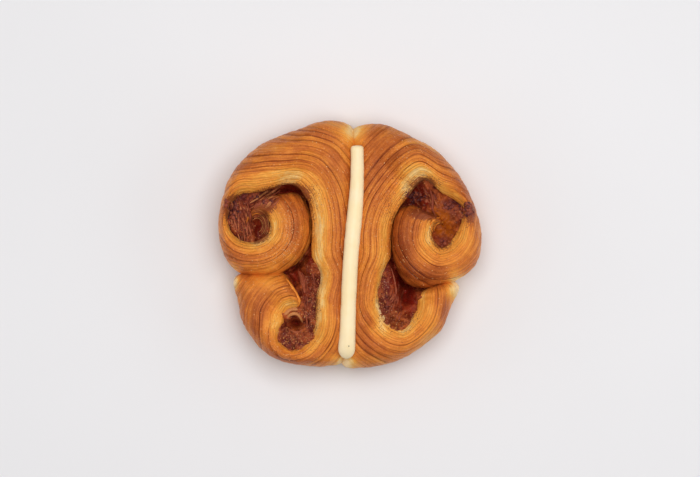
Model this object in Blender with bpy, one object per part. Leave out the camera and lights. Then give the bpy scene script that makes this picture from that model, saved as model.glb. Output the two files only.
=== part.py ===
"""Cinnamon palmier: two double scrolls of laminated dough, baked side by side and grown together.

Each half is one band of dough. It starts at the core of the large upper scroll, winds outwards,
runs down beside the seam and winds inwards again to the core of the small lower scroll. Cinnamon
filling stands between the turns, and a piped line of icing lies in the valley over the seam.

Frame: +X to the right and +Y away from the eater, seen from above, +Z up. The origin is in the
middle of the flat underside. Lengths are in millimetres up to the moment a mesh is made.
"""

import math

import bmesh
import bpy
import numpy as np

MM = 0.001

# Driving dimensions of the whole.
CRUMB_GAP = 0.4  # clearance between dough, filling and icing
BAND_STATIONS = 92  # sections along each band
BAND_PARTS = ((0.0, 0.62), (0.60, 1.0))  # its upper and lower scroll, as shares of its length
END_ROUND = 4.0  # length over which a band's end is rounded off
END_BLUNTNESS = 0.85  # how far it closes up there, from 0 to 1
END_DIP = 0.3  # share of its height that follows the rounding

# The band's section, across from its inner edge (0) to its outer edge (1).
CREST_AT = 0.52
INNER_DROP = 0.18  # of the crest's height, from the crest down to the inner edge
OUTER_DROP = 0.50  # of the crest's height, from the crest down to the widest point of the wall
WALL_INSET = 1.5  # how far the foot of the outer wall stands in
SEAM_REACH = 12.0  # nearer to the seam than this, the foot stands in less and less
LAYER_ROWS = 15  # rows of the section between its two edges
ROW_CROWDING = 0.18  # how much they crowd together towards the outer edge
LAYER_RELIEF = 0.022  # how far the layers' ridges stand up and down, as a share of the width
WIDE = 22.0  # bands wider than this have no higher ridges
MOST_SLANTED = 0.55  # cosine of the steepest slant that a clearance makes up for
SWELL = 0.5  # slow rise and fall of the crest along the band
SWELL_PACE = (9.0, 23.0)

# A scroll is a centre and rows of (angle, inner radius, outer radius, crest height). The angle is
# in degrees from +X, and runs on past a full turn where the band winds round more than once.
UPPER_LEFT = {
    "centre": (-42.0, 8.2),
    "rows": (
        (540, 1.4, 3.6, 34), (495, 2.7, 6.3, 35), (465, 4.0, 9.5, 36), (440, 5.0, 14.5, 37),
        (410, 6.0, 20.5, 39), (375, 5.5, 23.8, 40), (335, 5.5, 23.3, 40), (300, 6.0, 22.5, 39),
        (270, 7.0, 22.5, 38), (240, 8.5, 21.4, 37), (210, 11.0, 18.8, 36), (180, 12.0, 17.6, 36),
        (150, 14.0, 19.1, 37), (120, 15.3, 25.2, 39), (90, 16.2, 35.8, 41), (67, 20.0, 47.6, 42),
        (55, 24.0, 58.6, 39), (47, 26.0, 61.9, 37), (35, 26.5, 57.0, 38), (18, 26.3, 48.0, 39),
        (0, 25.6, 44.2, 39),
    ),
}
LOWER_LEFT = {
    "centre": (-25.3, -35.0),
    "rows": (
        (0, 10.1, 25.8, 37), (-25, 10.4, 27.6, 36), (-40, 10.6, 28.8, 34), (-55, 11.0, 24.8, 34),
        (-75, 11.7, 20.8, 34), (-100, 12.0, 18.8, 34), (-130, 10.0, 19.2, 34),
        (-155, 7.6, 20.4, 35), (-180, 6.3, 23.6, 36), (-200, 5.8, 27.4, 36),
        (-214, 5.8, 31.4, 34), (-226, 5.8, 27.2, 35), (-243, 5.8, 23.4, 36),
        (-257, 5.8, 21.8, 36), (-268, 5.8, 17.0, 36), (-280, 5.8, 13.0, 35), (-292, 6.3, 9.5, 34),
    ),
}
UPPER_RIGHT = {
    "centre": (41.8, 5.5),
    "rows": (
        (-285, 1.8, 4.0, 34), (-255, 3.0, 7.2, 35), (-232, 4.0, 12.6, 37), (-220, 4.5, 20.2, 38),
        (-208, 4.5, 22.7, 39), (-185, 4.5, 23.3, 40), (-155, 5.0, 24.6, 40), (-125, 6.0, 26.8, 39),
        (-100, 7.4, 25.2, 38), (-70, 6.8, 22.3, 37), (-45, 6.5, 21.0, 37), (-15, 7.0, 18.2, 37),
        (10, 8.5, 17.4, 37), (30, 12.0, 17.8, 38), (52, 15.3, 20.5, 39), (72, 16.7, 26.0, 40),
        (92, 19.8, 35.5, 41), (108, 25.6, 45.7, 42), (121, 25.6, 57.6, 41), (131, 25.0, 62.0, 37),
        (142, 24.8, 53.2, 38), (160, 24.5, 44.3, 39), (180, 24.5, 42.5, 39),
    ),
}
LOWER_RIGHT = {
    "centre": (22.4, -25.1),
    "rows": (
        (180, 10.0, 24.5, 37), (203, 10.1, 28.0, 36), (220, 10.8, 35.0, 35), (229, 11.2, 39.2, 34),
        (242, 11.3, 35.0, 34), (258, 11.8, 30.0, 34), (276, 12.7, 26.0, 34), (300, 11.0, 23.4, 35),
        (325, 9.8, 23.4, 36), (348, 9.0, 23.0, 36), (360, 8.7, 24.6, 35), (369, 8.5, 26.4, 34),
        (376, 8.3, 26.4, 33),
    ),
}

# Sections of the straight part beside the seam: inner edge, outer edge, crest height.
LEFT_STRIP = (
    (-15.6, -5.7, 1.3, -4.4, 38),
    (-13.6, -13.4, 0.7, -13.8, 37),
    (-14.7, -24.2, 0.6, -24.6, 37),
)
RIGHT_STRIP = (
    (17.2, -4.4, -1.3, -5.3, 38),
    (14.5, -13.8, -1.6, -15.2, 37),
)

# The filling of each half: where along the band its outline starts and ends, as shares of the
# band's length, and the rises and hollows of its top (x, y, reach in x, reach in y, height).
FILLING_FLOOR = 0.6
FILLING_TOP = 29.0
FILLING_BUMP = 0.7
FILLING_PITCH = 5.5
FILLING_STEP = 2.6
LEFT_FILLING = {
    "outline": (0.201, 0.957),
    "reliefs": (
        (-51.0, 12.0, 7.0, 9.0, 2.0), (-27.0, 24.0, 7.5, 4.5, -5.0), (-42.0, 8.0, 5.0, 5.0, -2.0),
        (-22.5, -17.0, 6.0, 6.0, -4.0), (-17.0, -26.0, 2.5, 14.0, 1.0),
        (-25.0, -31.5, 4.0, 3.0, 1.5), (-24.5, -35.5, 3.0, 2.0, -5.0), (-25.0, -43.0, 6.0, 4.0, 0.5),
    ),
}
RIGHT_FILLING = {
    "outline": (0.200, 0.985),
    "reliefs": (
        (28.0, 21.5, 6.0, 5.0, -5.0), (45.0, 14.0, 5.0, 6.0, 1.5), (55.0, 12.5, 5.0, 6.0, 3.0),
        (43.0, 5.0, 5.0, 5.0, -2.0), (25.0, -20.0, 5.5, 7.0, -4.0), (15.5, -23.0, 3.0, 12.0, 1.0),
        (21.0, -34.5, 6.0, 3.5, 0.5),
    ),
}

# The icing, from its square-cut far end to its round near end: x, y, half width, middle height.
ICING_LINE = (
    (3.1, 44.4, 2.9, 34.2), (3.2, 34.0, 3.0, 35.4), (3.0, 26.0, 3.1, 35.8), (1.9, 14.0, 3.3, 36.2),
    (0.9, 4.0, 3.4, 36.4), (0.1, -7.0, 3.4, 36.2), (-0.5, -20.0, 3.4, 35.8),
    (-1.0, -33.0, 3.5, 35.8), (-1.3, -42.0, 3.7, 35.2), (-1.6, -47.0, 3.8, 34.2),
    (-1.7, -51.4, 3.6, 32.6),
)
ICING_STEPS = 34
ICING_SIDES = 16
ICING_RISE = 0.95  # the top's rise over the icing's middle, as a share of its half width
ICING_ROOT = 9.0  # how far it would reach down if the dough didn't stand in its way
ICING_TAPER = 0.55  # how much narrower it is at its deepest
ICING_FAR_END = (1.0, 0.3)  # the rounding at the square end: its length and how far it closes
ICING_NEAR_END = (3.8, 0.96)  # and at the round end
ICING_WAVE = 0.12  # the width's unevenness, and how often it comes
ICING_WAVE_PACE = (3.1, 7.7)


def clear_scene():
    for obj in list(bpy.data.objects):
        bpy.data.objects.remove(obj)


def material(name, colour, roughness):
    made = bpy.data.materials.new(name)
    made.use_nodes = True
    shader = made.node_tree.nodes["Principled BSDF"]
    shader.inputs["Base Color"].default_value = (*colour, 1.0)
    shader.inputs["Roughness"].default_value = roughness
    shader.inputs["Metallic"].default_value = 0.0
    return made


def solid(name, points, faces, look=None):
    """An object whose mesh holds these points, given in millimetres, with its faces outwards."""
    mesh = bpy.data.meshes.new(name)
    mesh.from_pydata([tuple(p) for p in np.asarray(points) * MM], [], faces)
    work = bmesh.new()
    work.from_mesh(mesh)
    bmesh.ops.recalc_face_normals(work, faces=work.faces)
    work.to_mesh(mesh)
    work.free()
    if look:
        mesh.materials.append(look)
    obj = bpy.data.objects.new(name, mesh)
    bpy.context.scene.collection.objects.link(obj)
    return obj


def tube_faces(rings, sides):
    """Quads between closed rings, and a cap over each end."""
    faces = []
    for i in range(rings - 1):
        for j in range(sides):
            k = (j + 1) % sides
            a, b = i * sides, (i + 1) * sides
            faces.append((a + j, a + k, b + k, b + j))
    faces.append(tuple(range(sides - 1, -1, -1)))
    last = (rings - 1) * sides
    faces.append(tuple(range(last, last + sides)))
    return faces


def combine(obj, other, operation):
    """Applies a Boolean to the object and removes the other one."""
    modifier = obj.modifiers.new(operation.lower(), "BOOLEAN")
    modifier.operation = operation
    modifier.solver = "EXACT"
    modifier.object = other
    graph = bpy.context.evaluated_depsgraph_get()
    result = bpy.data.meshes.new_from_object(obj.evaluated_get(graph))
    obj.modifiers.clear()
    obj.data = result
    bpy.data.objects.remove(other)


def cubic_through(rows, lengths, at):
    """Rows read at new places from a smooth curve through rows that stand at these lengths."""
    step = np.diff(lengths)[:, None]
    slope = np.diff(rows, axis=0) / step
    tangent = np.empty_like(rows)
    tangent[1:-1] = (slope[:-1] * step[1:] + slope[1:] * step[:-1]) / (step[:-1] + step[1:])
    tangent[0] = slope[0]
    tangent[-1] = slope[-1]
    piece = np.clip(np.searchsorted(lengths, at, side="right") - 1, 0, len(step) - 1)
    t = (at - lengths[piece])[:, None] / step[piece]
    return (
        (2 * t**3 - 3 * t**2 + 1) * rows[piece]
        + (t**3 - 2 * t**2 + t) * step[piece] * tangent[piece]
        + (3 * t**2 - 2 * t**3) * rows[piece + 1]
        + (t**3 - t**2) * step[piece] * tangent[piece + 1]
    )


def scroll_sections(scroll):
    """One row for each section of a scroll: inner x, y, outer x, y and crest height."""
    angle, inner, outer, crest = np.array(scroll["rows"], float).T
    way = np.c_[np.cos(np.radians(angle)), np.sin(np.radians(angle))]
    centre = np.array(scroll["centre"])
    return np.c_[centre + inner[:, None] * way, centre + outer[:, None] * way, crest]


def band_sections(upper, strip, lower, count=BAND_STATIONS):
    """Sections of a whole band, from the upper core to the lower one, and their places along it."""
    rows = np.vstack([scroll_sections(upper), np.array(strip, float), scroll_sections(lower)])
    moved = np.diff(rows, axis=0)
    stride = (np.hypot(moved[:, 0], moved[:, 1]) + np.hypot(moved[:, 2], moved[:, 3])) / 2
    lengths = np.r_[0.0, np.cumsum(stride)]
    along = np.linspace(0, lengths[-1], count)
    sections = cubic_through(rows, lengths, along)
    wave = np.sin(along / SWELL_PACE[0]) * np.sin(along / SWELL_PACE[1] + 1.0)
    sections[:, 4] += SWELL * wave
    return sections, along


def crest_share(across):
    """Height of the section's smooth outline at this share of its width, as a share of the crest."""
    if across < CREST_AT:
        return 1.0 - INNER_DROP * ((CREST_AT - across) / CREST_AT) ** 2
    round_off = (across - CREST_AT) / (1.0 - CREST_AT)
    return 1.0 - OUTER_DROP * (1.0 - math.sqrt(1.0 - round_off**2))


def section_profile():
    """(across, height, relief) of the section's points, from the inner foot over the crest to the
    outer foot."""
    profile = [(0.0, 0.0, 0.0), (0.0, 1.0 - INNER_DROP, 0.0)]
    for row in range(LAYER_ROWS):
        spread = (row + 1) / (LAYER_ROWS + 1)
        across = spread + ROW_CROWDING * math.sin(math.pi * spread)
        relief = (LAYER_RELIEF if row % 2 else -LAYER_RELIEF) * (1.0 - across**6)
        profile.append((across, crest_share(across), relief))
    widest = 1.0 - OUTER_DROP
    return profile + [(1.0, widest, 0.0), (1.0, widest * 0.5, 0.0), (1.0, 0.0, 0.0)]


def slant(edge, way):
    """How much further along a section, than square to the edge, something lies from the edge."""
    run = np.gradient(edge, axis=0)
    square = np.c_[-run[:, 1], run[:, 0]] / np.linalg.norm(run, axis=1)[:, None]
    return 1.0 / np.clip(np.abs((square * way).sum(axis=1)), MOST_SLANTED, 1.0)


def band_rings(sections, along, growth):
    """Rings of points, one for each section. Growth moves them apart: up on top, outwards at the
    sides, and down at the foot."""
    inner, outer, crest = sections[:, 0:2], sections[:, 2:4], sections[:, 4]
    width = np.linalg.norm(outer - inner, axis=1)
    way = (outer - inner) / width[:, None]
    middle = (inner + outer) / 2
    to_end = np.minimum(along, along[-1] - along)
    blunt = np.sqrt(1.0 - END_BLUNTNESS * (1.0 - np.clip(to_end / END_ROUND, 0.0, 1.0)) ** 2)
    inset = np.minimum(WALL_INSET, 0.2 * width) * np.clip(np.abs(outer[:, 0]) / SEAM_REACH, 0, 1)
    inner_slant, outer_slant = slant(inner, way), slant(outer, way)
    rings = []
    for share, height, relief in section_profile():
        lean = (share - CREST_AT) / CREST_AT
        push = growth * np.clip(1.6 * lean, -1.0, 1.0) * (outer_slant if lean > 0 else inner_slant)
        offset = (share - 0.5) * width * blunt + push
        if share == 1.0:
            offset = offset - inset * (1.0 - height / (1.0 - OUTER_DROP)) ** 2
        top = height * crest + relief * np.minimum(width, WIDE)
        top = top * (1.0 - END_DIP * (1.0 - blunt)) + growth * (1.0 - 0.4 * abs(lean))
        if height == 0.0:
            top = np.full(len(sections), -growth)
        rings.append(np.c_[middle + way * offset[:, None], top])
    return np.stack(rings, axis=1)


def band(name, half, look=None, growth=0.0, part=(0.0, 1.0)):
    """A half's band of dough as one solid, or the part of it between two shares of its length."""
    first, last = (round(share * (BAND_STATIONS - 1)) for share in part)
    rings = band_rings(*band_sections(*half), growth)[first : last + 1]
    if growth:
        for end, next_to_it in ((0, 1), (-1, -2)):
            way = (rings[end] - rings[next_to_it]).mean(axis=0)
            rings[end] += way * growth / np.linalg.norm(way)
    return solid(name, rings.reshape(-1, 3), tube_faces(*rings.shape[:2]), look)


def cut_by_dough(obj):
    """Takes the dough, grown by the clearance, out of the object. Each band comes in two parts,
    because its grown scrolls would run into each other."""
    for half in (LEFT_HALF, RIGHT_HALF):
        for part in BAND_PARTS:
            combine(obj, band("cutter", half, growth=CRUMB_GAP, part=part), "DIFFERENCE")


def keep_largest(obj):
    """Drops the loose scraps that a cut leaves, and fills the hollows that a union seals: both are
    surfaces that hang together with the largest one at most by a corner or a doubled edge."""
    work = bmesh.new()
    work.from_mesh(obj.data)
    bmesh.ops.remove_doubles(work, verts=work.verts, dist=0.000005)
    loose = set(work.faces)
    pieces = []
    while loose:
        piece, front = [], [loose.pop()]
        while front:
            face = front.pop()
            piece.append(face)
            for edge in face.edges:
                near = set(edge.link_faces) & loose if len(edge.link_faces) == 2 else set()
                loose -= near
                front.extend(near)
        pieces.append(piece)
    pieces.sort(key=len)
    scraps = [face for piece in pieces[:-1] for face in piece]
    bmesh.ops.delete(work, geom=scraps, context="FACES")
    work.to_mesh(obj.data)
    work.free()


def block(name, outline, floor, top):
    """An upright block between two heights over a closed outline in plan."""
    rings = [np.c_[outline, np.full(len(outline), z)] for z in (floor, top)]
    return solid(name, np.vstack(rings), tube_faces(2, len(outline)))


def filling_height(x, y, reliefs):
    """Height of the filling's top: a level with rises and hollows, and small bumps all over."""
    height = np.full(x.shape, FILLING_TOP)
    for centre_x, centre_y, reach_x, reach_y, rise in reliefs:
        away = ((x - centre_x) / reach_x) ** 2 + ((y - centre_y) / reach_y) ** 2
        height += rise * np.exp(-away)
    pace = 2 * math.pi / FILLING_PITCH
    bumps = np.sin(pace * x + 1.3 * np.sin(0.4 * y)) * np.sin(pace * y + 1.1 * np.sin(0.5 * x))
    return height + FILLING_BUMP * bumps


def space_above_filling(outline, reliefs, ceiling=60.0):
    """Everything above the filling's top, as a block with a bumpy underside."""
    low = outline.min(axis=0) - FILLING_STEP
    high = outline.max(axis=0) + FILLING_STEP
    xs = np.linspace(low[0], high[0], int((high[0] - low[0]) / FILLING_STEP))
    ys = np.linspace(low[1], high[1], int((high[1] - low[1]) / FILLING_STEP))
    x, y = np.meshgrid(xs, ys, indexing="ij")
    under = np.stack([x, y, filling_height(x, y, reliefs)], axis=-1).reshape(-1, 3)
    over = under.copy()
    over[:, 2] = ceiling
    columns, rows = len(xs), len(ys)
    number = np.arange(columns * rows).reshape(columns, rows)
    faces = []
    for i in range(columns - 1):
        for j in range(rows - 1):
            a, b, c, d = number[i, j], number[i + 1, j], number[i + 1, j + 1], number[i, j + 1]
            faces += [(a, b, c), (a, c, d)]
    rim = [*number[:, 0], *number[-1, 1:], *number[-2::-1, -1], *number[0, -2:0:-1]]
    total = columns * rows
    for a, b in zip(rim, rim[1:] + rim[:1]):
        faces.append((a, b, b + total, a + total))
    faces.append(tuple(a + total for a in rim))
    used = np.zeros(2 * total, bool)
    used[:total] = True
    used[[a + total for a in rim]] = True
    renumber = np.cumsum(used) - 1
    points = np.vstack([under, over])[used]
    return solid("space_above", points, [tuple(int(renumber[i]) for i in f) for f in faces])


def filling(name, half, shape, look):
    """The filling in the pockets of one half, out to the middle line of the band round them."""
    sections, _ = band_sections(*half)
    middle = (sections[:, 0:2] + sections[:, 2:4]) / 2
    first, last = (round(share * (BAND_STATIONS - 1)) for share in shape["outline"])
    outline = middle[first : last + 1]
    made = block(name, outline, FILLING_FLOOR, 50.0)
    combine(made, space_above_filling(outline, shape["reliefs"]), "DIFFERENCE")
    cut_by_dough(made)
    keep_largest(made)
    made.data.materials.clear()
    made.data.materials.append(look)
    return made


def icing_rings():
    """Rings of the icing: a round top, and a root that narrows downwards into the valley."""
    rows = np.array(ICING_LINE)
    lengths = np.r_[0.0, np.cumsum(np.hypot(*np.diff(rows[:, :2], axis=0).T))]
    along = lengths[-1] * (1 - np.cos(np.linspace(0, math.pi, ICING_STEPS))) / 2
    line = cubic_through(rows, lengths, along)
    way = np.gradient(line[:, :2], axis=0)
    way /= np.linalg.norm(way, axis=1)[:, None]
    side = np.c_[-way[:, 1], way[:, 0]]
    blunt = np.ones(ICING_STEPS)
    for (length, closing), away in ((ICING_FAR_END, along), (ICING_NEAR_END, along[-1] - along)):
        blunt *= np.sqrt(1 - closing * (1 - np.clip(away / length, 0, 1)) ** 2)
    wave = ICING_WAVE * np.sin(along / ICING_WAVE_PACE[0]) * np.sin(along / ICING_WAVE_PACE[1])
    half_width = (line[:, 2] + wave) * blunt
    rings = []
    for number in range(ICING_SIDES):
        angle = 2 * math.pi * (number + 0.5) / ICING_SIDES
        out, up = math.cos(angle), math.sin(angle)
        if up > 0:
            rise = up * ICING_RISE * half_width
        else:
            rise = up * ICING_ROOT * blunt
            out *= 1.0 + ICING_TAPER * up
        rings.append(np.c_[line[:, :2] + side * (out * half_width)[:, None], line[:, 3] + rise])
    return np.stack(rings, axis=1)


def icing(name, look):
    rings = icing_rings()
    made = solid(name, rings.reshape(-1, 3), tube_faces(*rings.shape[:2]))
    cut_by_dough(made)
    keep_largest(made)
    made.data.materials.clear()
    made.data.materials.append(look)
    return made


LEFT_HALF = (UPPER_LEFT, LEFT_STRIP, LOWER_LEFT)
RIGHT_HALF = (UPPER_RIGHT, RIGHT_STRIP, LOWER_RIGHT)


def main():
    clear_scene()
    dough = material("baked_dough", (0.55, 0.25, 0.07), 0.45)
    spice = material("cinnamon_filling", (0.12, 0.035, 0.02), 0.55)
    cream = material("cream_icing", (0.87, 0.76, 0.52), 0.35)
    pastry = band("pastry", LEFT_HALF, dough)
    combine(pastry, band("right_half", RIGHT_HALF), "UNION")
    keep_largest(pastry)
    pastry.data.shade_smooth()
    filling("filling_left", LEFT_HALF, LEFT_FILLING, spice)
    filling("filling_right", RIGHT_HALF, RIGHT_FILLING, spice)
    icing("icing", cream).data.shade_smooth()


if __name__ == "__main__":
    main()
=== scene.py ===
"""Looks of a cinnamon palmier: layered dough, cinnamon filling, piped icing, crumbs and a stage.

Frame: +X to the right and +Y away from the eater, seen from above, +Z up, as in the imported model.
Shapes are worked out in millimetres and become metres when their mesh is made.
"""

import itertools
import math
from types import SimpleNamespace

import bpy
import numpy as np
from bpy.props import FloatProperty, FloatVectorProperty, IntProperty, PointerProperty
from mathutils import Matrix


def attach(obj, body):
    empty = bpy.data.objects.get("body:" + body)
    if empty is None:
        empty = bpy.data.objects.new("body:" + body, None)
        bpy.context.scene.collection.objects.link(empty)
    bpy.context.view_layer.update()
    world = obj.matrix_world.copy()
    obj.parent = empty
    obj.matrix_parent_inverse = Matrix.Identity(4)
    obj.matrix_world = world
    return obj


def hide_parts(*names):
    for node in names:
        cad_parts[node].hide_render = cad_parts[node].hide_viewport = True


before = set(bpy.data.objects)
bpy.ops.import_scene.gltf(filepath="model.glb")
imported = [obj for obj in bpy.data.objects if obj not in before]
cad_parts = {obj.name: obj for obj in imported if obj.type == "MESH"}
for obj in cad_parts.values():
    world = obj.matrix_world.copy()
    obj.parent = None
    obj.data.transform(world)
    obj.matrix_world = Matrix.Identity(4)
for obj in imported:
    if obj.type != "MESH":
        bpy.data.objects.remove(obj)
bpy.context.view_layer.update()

bl_info = {
    "name": "Cinnamon palmier",
    "version": (1, 0, 0),
    "blender": (4, 5, 0),
    "location": "3D View > Sidebar > Palmier",
    "description": "Dresses a cinnamon palmier with layered dough, filling, icing and crumbs",
    "category": "Add Mesh",
}

MM = 0.001

# The bands of dough, by the same named sizes as the solids.
STATIONS = 490  # sections along each band
TOP_ROWS = 176  # rows over the top of a section, up its inner wall, down its outer wall, under it
INNER_ROWS = 4
OUTER_ROWS = 10
UNDER_ROWS = 6
MEAN_WIDTH = 20  # of a section, to space its rows
MEAN_HEIGHT = 38
END_ROUND = 4
END_BLUNTNESS = 0.97
END_DIP = 0.3
CREST_AT = 0.52
INNER_DROP = 0.18
OUTER_DROP = 0.5
WALL_INSET = 1.5  # how far the outer wall leans in below, at most this share of the width
INSET_SHARE = 0.2
SEAM_REACH = 12
SWELL = 0.5
SWELL_PACE = (9, 23)
LIP = 3  # how far the inner edge is rounded, and how far it drops there
LIP_DROP = 1.7

# The sheets in the dough.
SHEETS = 90
SLAB = 2.5  # sheets in one slab
SHEET_SIZES = (0.6, 0.9)  # least share of the mean thickness, and what chance adds to it
BENDS = ((0.5, (31, 9)), (0.16, (9, 3)))  # how far sheets drift aside, over cells along and across
FINE_GAP = 0.17  # half widths of the grooves between two sheets, and between slabs of sheets
WIDE_GAP = 0.24
WALL_SLOPE = 0.45  # how fast the sheets follow on down the outer wall, and how much they show
WALL_SHOWN = 0.35
SHEETS_END = (3, 16)  # heights between which they fade to the ground
RIM_START = 0.6 ** (1 / 6)  # share of the width from which the crust may not swell outwards

UPPER_LEFT = {
    "centre": (-42, 8.2),
    "rows": (
        (540, 1.4, 3.6, 34), (495, 2.7, 6.3, 35), (465, 4, 9.5, 36), (440, 5, 14.5, 37),
        (414, 6, 18.3, 38), (402, 5.8, 22.6, 39), (390, 5.6, 24.7, 40), (375, 5.5, 25, 40),
        (335, 5.5, 25.4, 40), (300, 5.6, 24.3, 39), (270, 6.2, 23.2, 38), (240, 7.7, 22.2, 37),
        (210, 10, 18.8, 36), (180, 12, 17.6, 36), (150, 14, 19.1, 37), (120, 15.8, 25.2, 39),
        (90, 15, 35.8, 41), (67, 18.2, 47.6, 42), (55, 22.5, 58.6, 39), (47, 24.7, 61.9, 37),
        (35, 25.2, 57, 38), (18, 24.8, 48, 39), (0, 24.7, 44.2, 39),
    ),
}
LOWER_LEFT = {
    "centre": (-25.3, -35),
    "rows": (
        (0, 9.4, 25.8, 37), (-25, 9.2, 27.6, 36), (-40, 9.3, 28.8, 34), (-55, 10.1, 24.8, 34),
        (-75, 11.2, 20.8, 34), (-100, 12, 18.8, 34), (-130, 10, 19.2, 34), (-155, 6.6, 20.4, 35),
        (-180, 4.7, 23.6, 35.6), (-200, 4.8, 27.2, 35.2), (-217, 4.8, 33.7, 34.7),
        (-228, 5, 30.4, 34.9), (-243, 5.8, 25.6, 35.5), (-257, 5.8, 23.2, 36), (-268, 5.8, 17, 36),
        (-280, 5.8, 13, 35), (-292, 6.3, 9.5, 34),
    ),
}
UPPER_RIGHT = {
    "centre": (41.8, 5.5),
    "rows": (
        (-285, 1.8, 4, 34), (-255, 3, 7.2, 35), (-232, 4, 12.2, 37), (-220, 4.5, 19, 38),
        (-208, 4.5, 22.4, 39), (-185, 4.5, 23.7, 40), (-155, 5, 25.4, 40), (-125, 5.4, 28.4, 39),
        (-100, 6.2, 26, 38), (-70, 5.4, 22.5, 37), (-45, 4.9, 21, 37), (-15, 5.1, 18.2, 37),
        (10, 6.3, 17.4, 37), (30, 8.8, 17.8, 38), (52, 13.9, 20.5, 39), (72, 15.4, 26, 40),
        (92, 17.2, 35.5, 41), (108, 24.1, 45.5, 42), (121, 23.6, 57.1, 41), (131, 22.5, 61.8, 37),
        (142, 22, 53.2, 38), (160, 22.5, 44.3, 39), (180, 23.3, 42.6, 39),
    ),
}
LOWER_RIGHT = {
    "centre": (22.4, -25.1),
    "rows": (
        (180, 9.5, 24.5, 37), (203, 8.9, 28, 36), (220, 8.8, 35, 35), (229, 9.1, 39.2, 34),
        (242, 9.8, 35, 34), (258, 10.8, 30, 34), (276, 11.4, 26, 34), (300, 9.3, 23.4, 35),
        (325, 8.2, 23.4, 36), (348, 7.7, 23, 36), (360, 7.6, 24.6, 35), (369, 7.8, 27.3, 34),
        (384, 8.3, 28.2, 33),
    ),
}
LEFT_STRIP = (
    (-17, -5.7, 1.3, -4.4, 38), (-13.6, -13.4, 0.7, -13.8, 37), (-15.8, -24.2, 0.6, -24.6, 37),
)
RIGHT_STRIP = ((18.3, -4.4, -1.4, -5.3, 38), (14.5, -13.8, -1.6, -15.2, 37))
LEFT_HALF = (UPPER_LEFT, LEFT_STRIP, LOWER_LEFT)
RIGHT_HALF = (UPPER_RIGHT, RIGHT_STRIP, LOWER_RIGHT)

# Patches are (x, y, reach in x, reach in y, strength), each fading as a bell.
BROWNER = (
    (-24.4, 7.3, 5.5, 15, 0.15), (22, 0, 5.5, 17, 0.26), (26.5, -5, 4.5, 10, 0.16),
    (32, -14.5, 9, 4, 0.2), (41, -14, 13, 4.5, 0.16), (43, -29, 3, 9, 0.22),
    (-25, -18, 3.5, 5, 0.12), (12, 38, 8, 16, 0.16), (-52, -4, 6, 8, 0.1), (7.5, -37, 3.5, 9, 0.22),
    (-40.5, -32, 4, 9, 0.18), (20, 32, 4, 8, 0.13), (33, -27, 3.5, 9, 0.14), (24, -37, 8, 3, 0.1),
    (31.4, -30.5, 2.2, 8, 0.16), (36.5, 4, 2.5, 7, 0.14), (42, -3, 6, 3, 0.14), (50, 3, 3, 8, 0.1),
    (-44, -14, 14, 4, 0.1), (-41, -8.5, 10, 3, 0.1), (-21, 27, 5.5, 3, 0.12),
    (-47, -32, 4, 10, 0.04), (-16.7, 30.3, 4, 4, 0.11), (-36.1, -27.3, 2.5, 3, 0.15),
    (-11.8, -8.9, 1.8, 4, 0.12), (45, 22.5, 6, 4, 0.14), (17, 2, 2, 9, 0.08),
)
# Patches of dough that browned less. Three of them are painted light that lifts dough lying in
# shade: at (-4.2, 20.5) beside the icing, at (-25.5, -6.5) on a scroll's shoulder and at (36, 33)
# on a slope.
PALER_AND_LIT = (
    (1.2, 51, 5.5, 5.6, 0.6), (-2, -53.5, 5, 4, 0.8), (-13.2, -8, 3, 30, 0.26),
    (15.4, 0, 2.6, 16, 0.16), (14.6, -24, 2.2, 14, 0.25), (-52.6, -15.6, 2.2, 5.6, 0.8),
    (47.5, -19, 4.5, 7, 0.9), (24, 25, 4, 5, 0.2), (29, 34, 11, 4, 0.15), (30, -40, 9, 6, 0.24),
    (53, 2, 3.5, 8, 0.18), (-36, -15.5, 9, 5, 0.36), (-26, -24, 4, 5, 0.1),
    (-34.5, -37.5, 3.5, 7, 0.1), (13.4, -38.6, 4, 5, 0.12), (35, -30.5, 4, 7, 0.32),
    (36, 33, 7, 4, 0.12), (-28, 31, 12, 4, 0.12), (35, 2, 3.5, 7, 0.14), (29.5, -22, 4, 6, 0.12),
    (-4.2, 20.5, 2.5, 6, 0.18), (-25.5, -6.5, 3, 3, 0.2), (-3.2, 36.1, 2.5, 3.5, 0.15),
    (-20.5, 2, 2, 6, 0.18), (13.4, -29, 2, 4, 0.12),
)
# Cinnamon stains on the dough near the filling. The last two, thin lines along the crevices beside
# the strips, are painted shade.
STAINS_AND_SHADE = (
    (-42, 8.5, 6, 6, 1), (-31, 23.5, 9, 4.5, 0.5), (-19.5, 24.5, 4.5, 4.5, 0.32),
    (-47, 18.5, 9, 4, 0.7), (41, 5, 5.5, 6.5, 0.8), (35, 27.5, 7, 3.6, 0.75), (26, 22, 5, 5, 0.5),
    (31, 13.5, 7, 2.6, 0.5), (-25, -29.5, 6, 4, 0.25), (-53.2, 16.5, 2.6, 5, 1),
    (54.2, 14, 2.4, 4.5, 1), (-37, 17.5, 5, 4, 0.8), (34, 13.6, 7, 2.6, 0.9),
    (-17.6, 3, 1.2, 12, 0.28), (18.3, -4, 1.6, 8, 0.4),
)
SMOOTH = (
    (1, 50.5, 8, 9, 1), (-2, -54, 6, 5, 1), (-42, -16, 8, 5, 0.7), (-34, -31, 4.5, 9, 0.6),
    (15, -37, 5, 5, 0.4), (-14, 2, 2.5, 20, 0.5),
)
OPEN_LAYERS = (
    (-26, -20, 9, 9, 0.6), (-41, -31, 8, 12, 0.5), (-30, 40, 20, 8, 0.35), (22, 35, 14, 14, 0.4),
    (8, -42, 14, 12, 0.4), (-8, 30, 8, 16, 0.2), (30, -12, 12, 7, 0.55),
)

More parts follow.
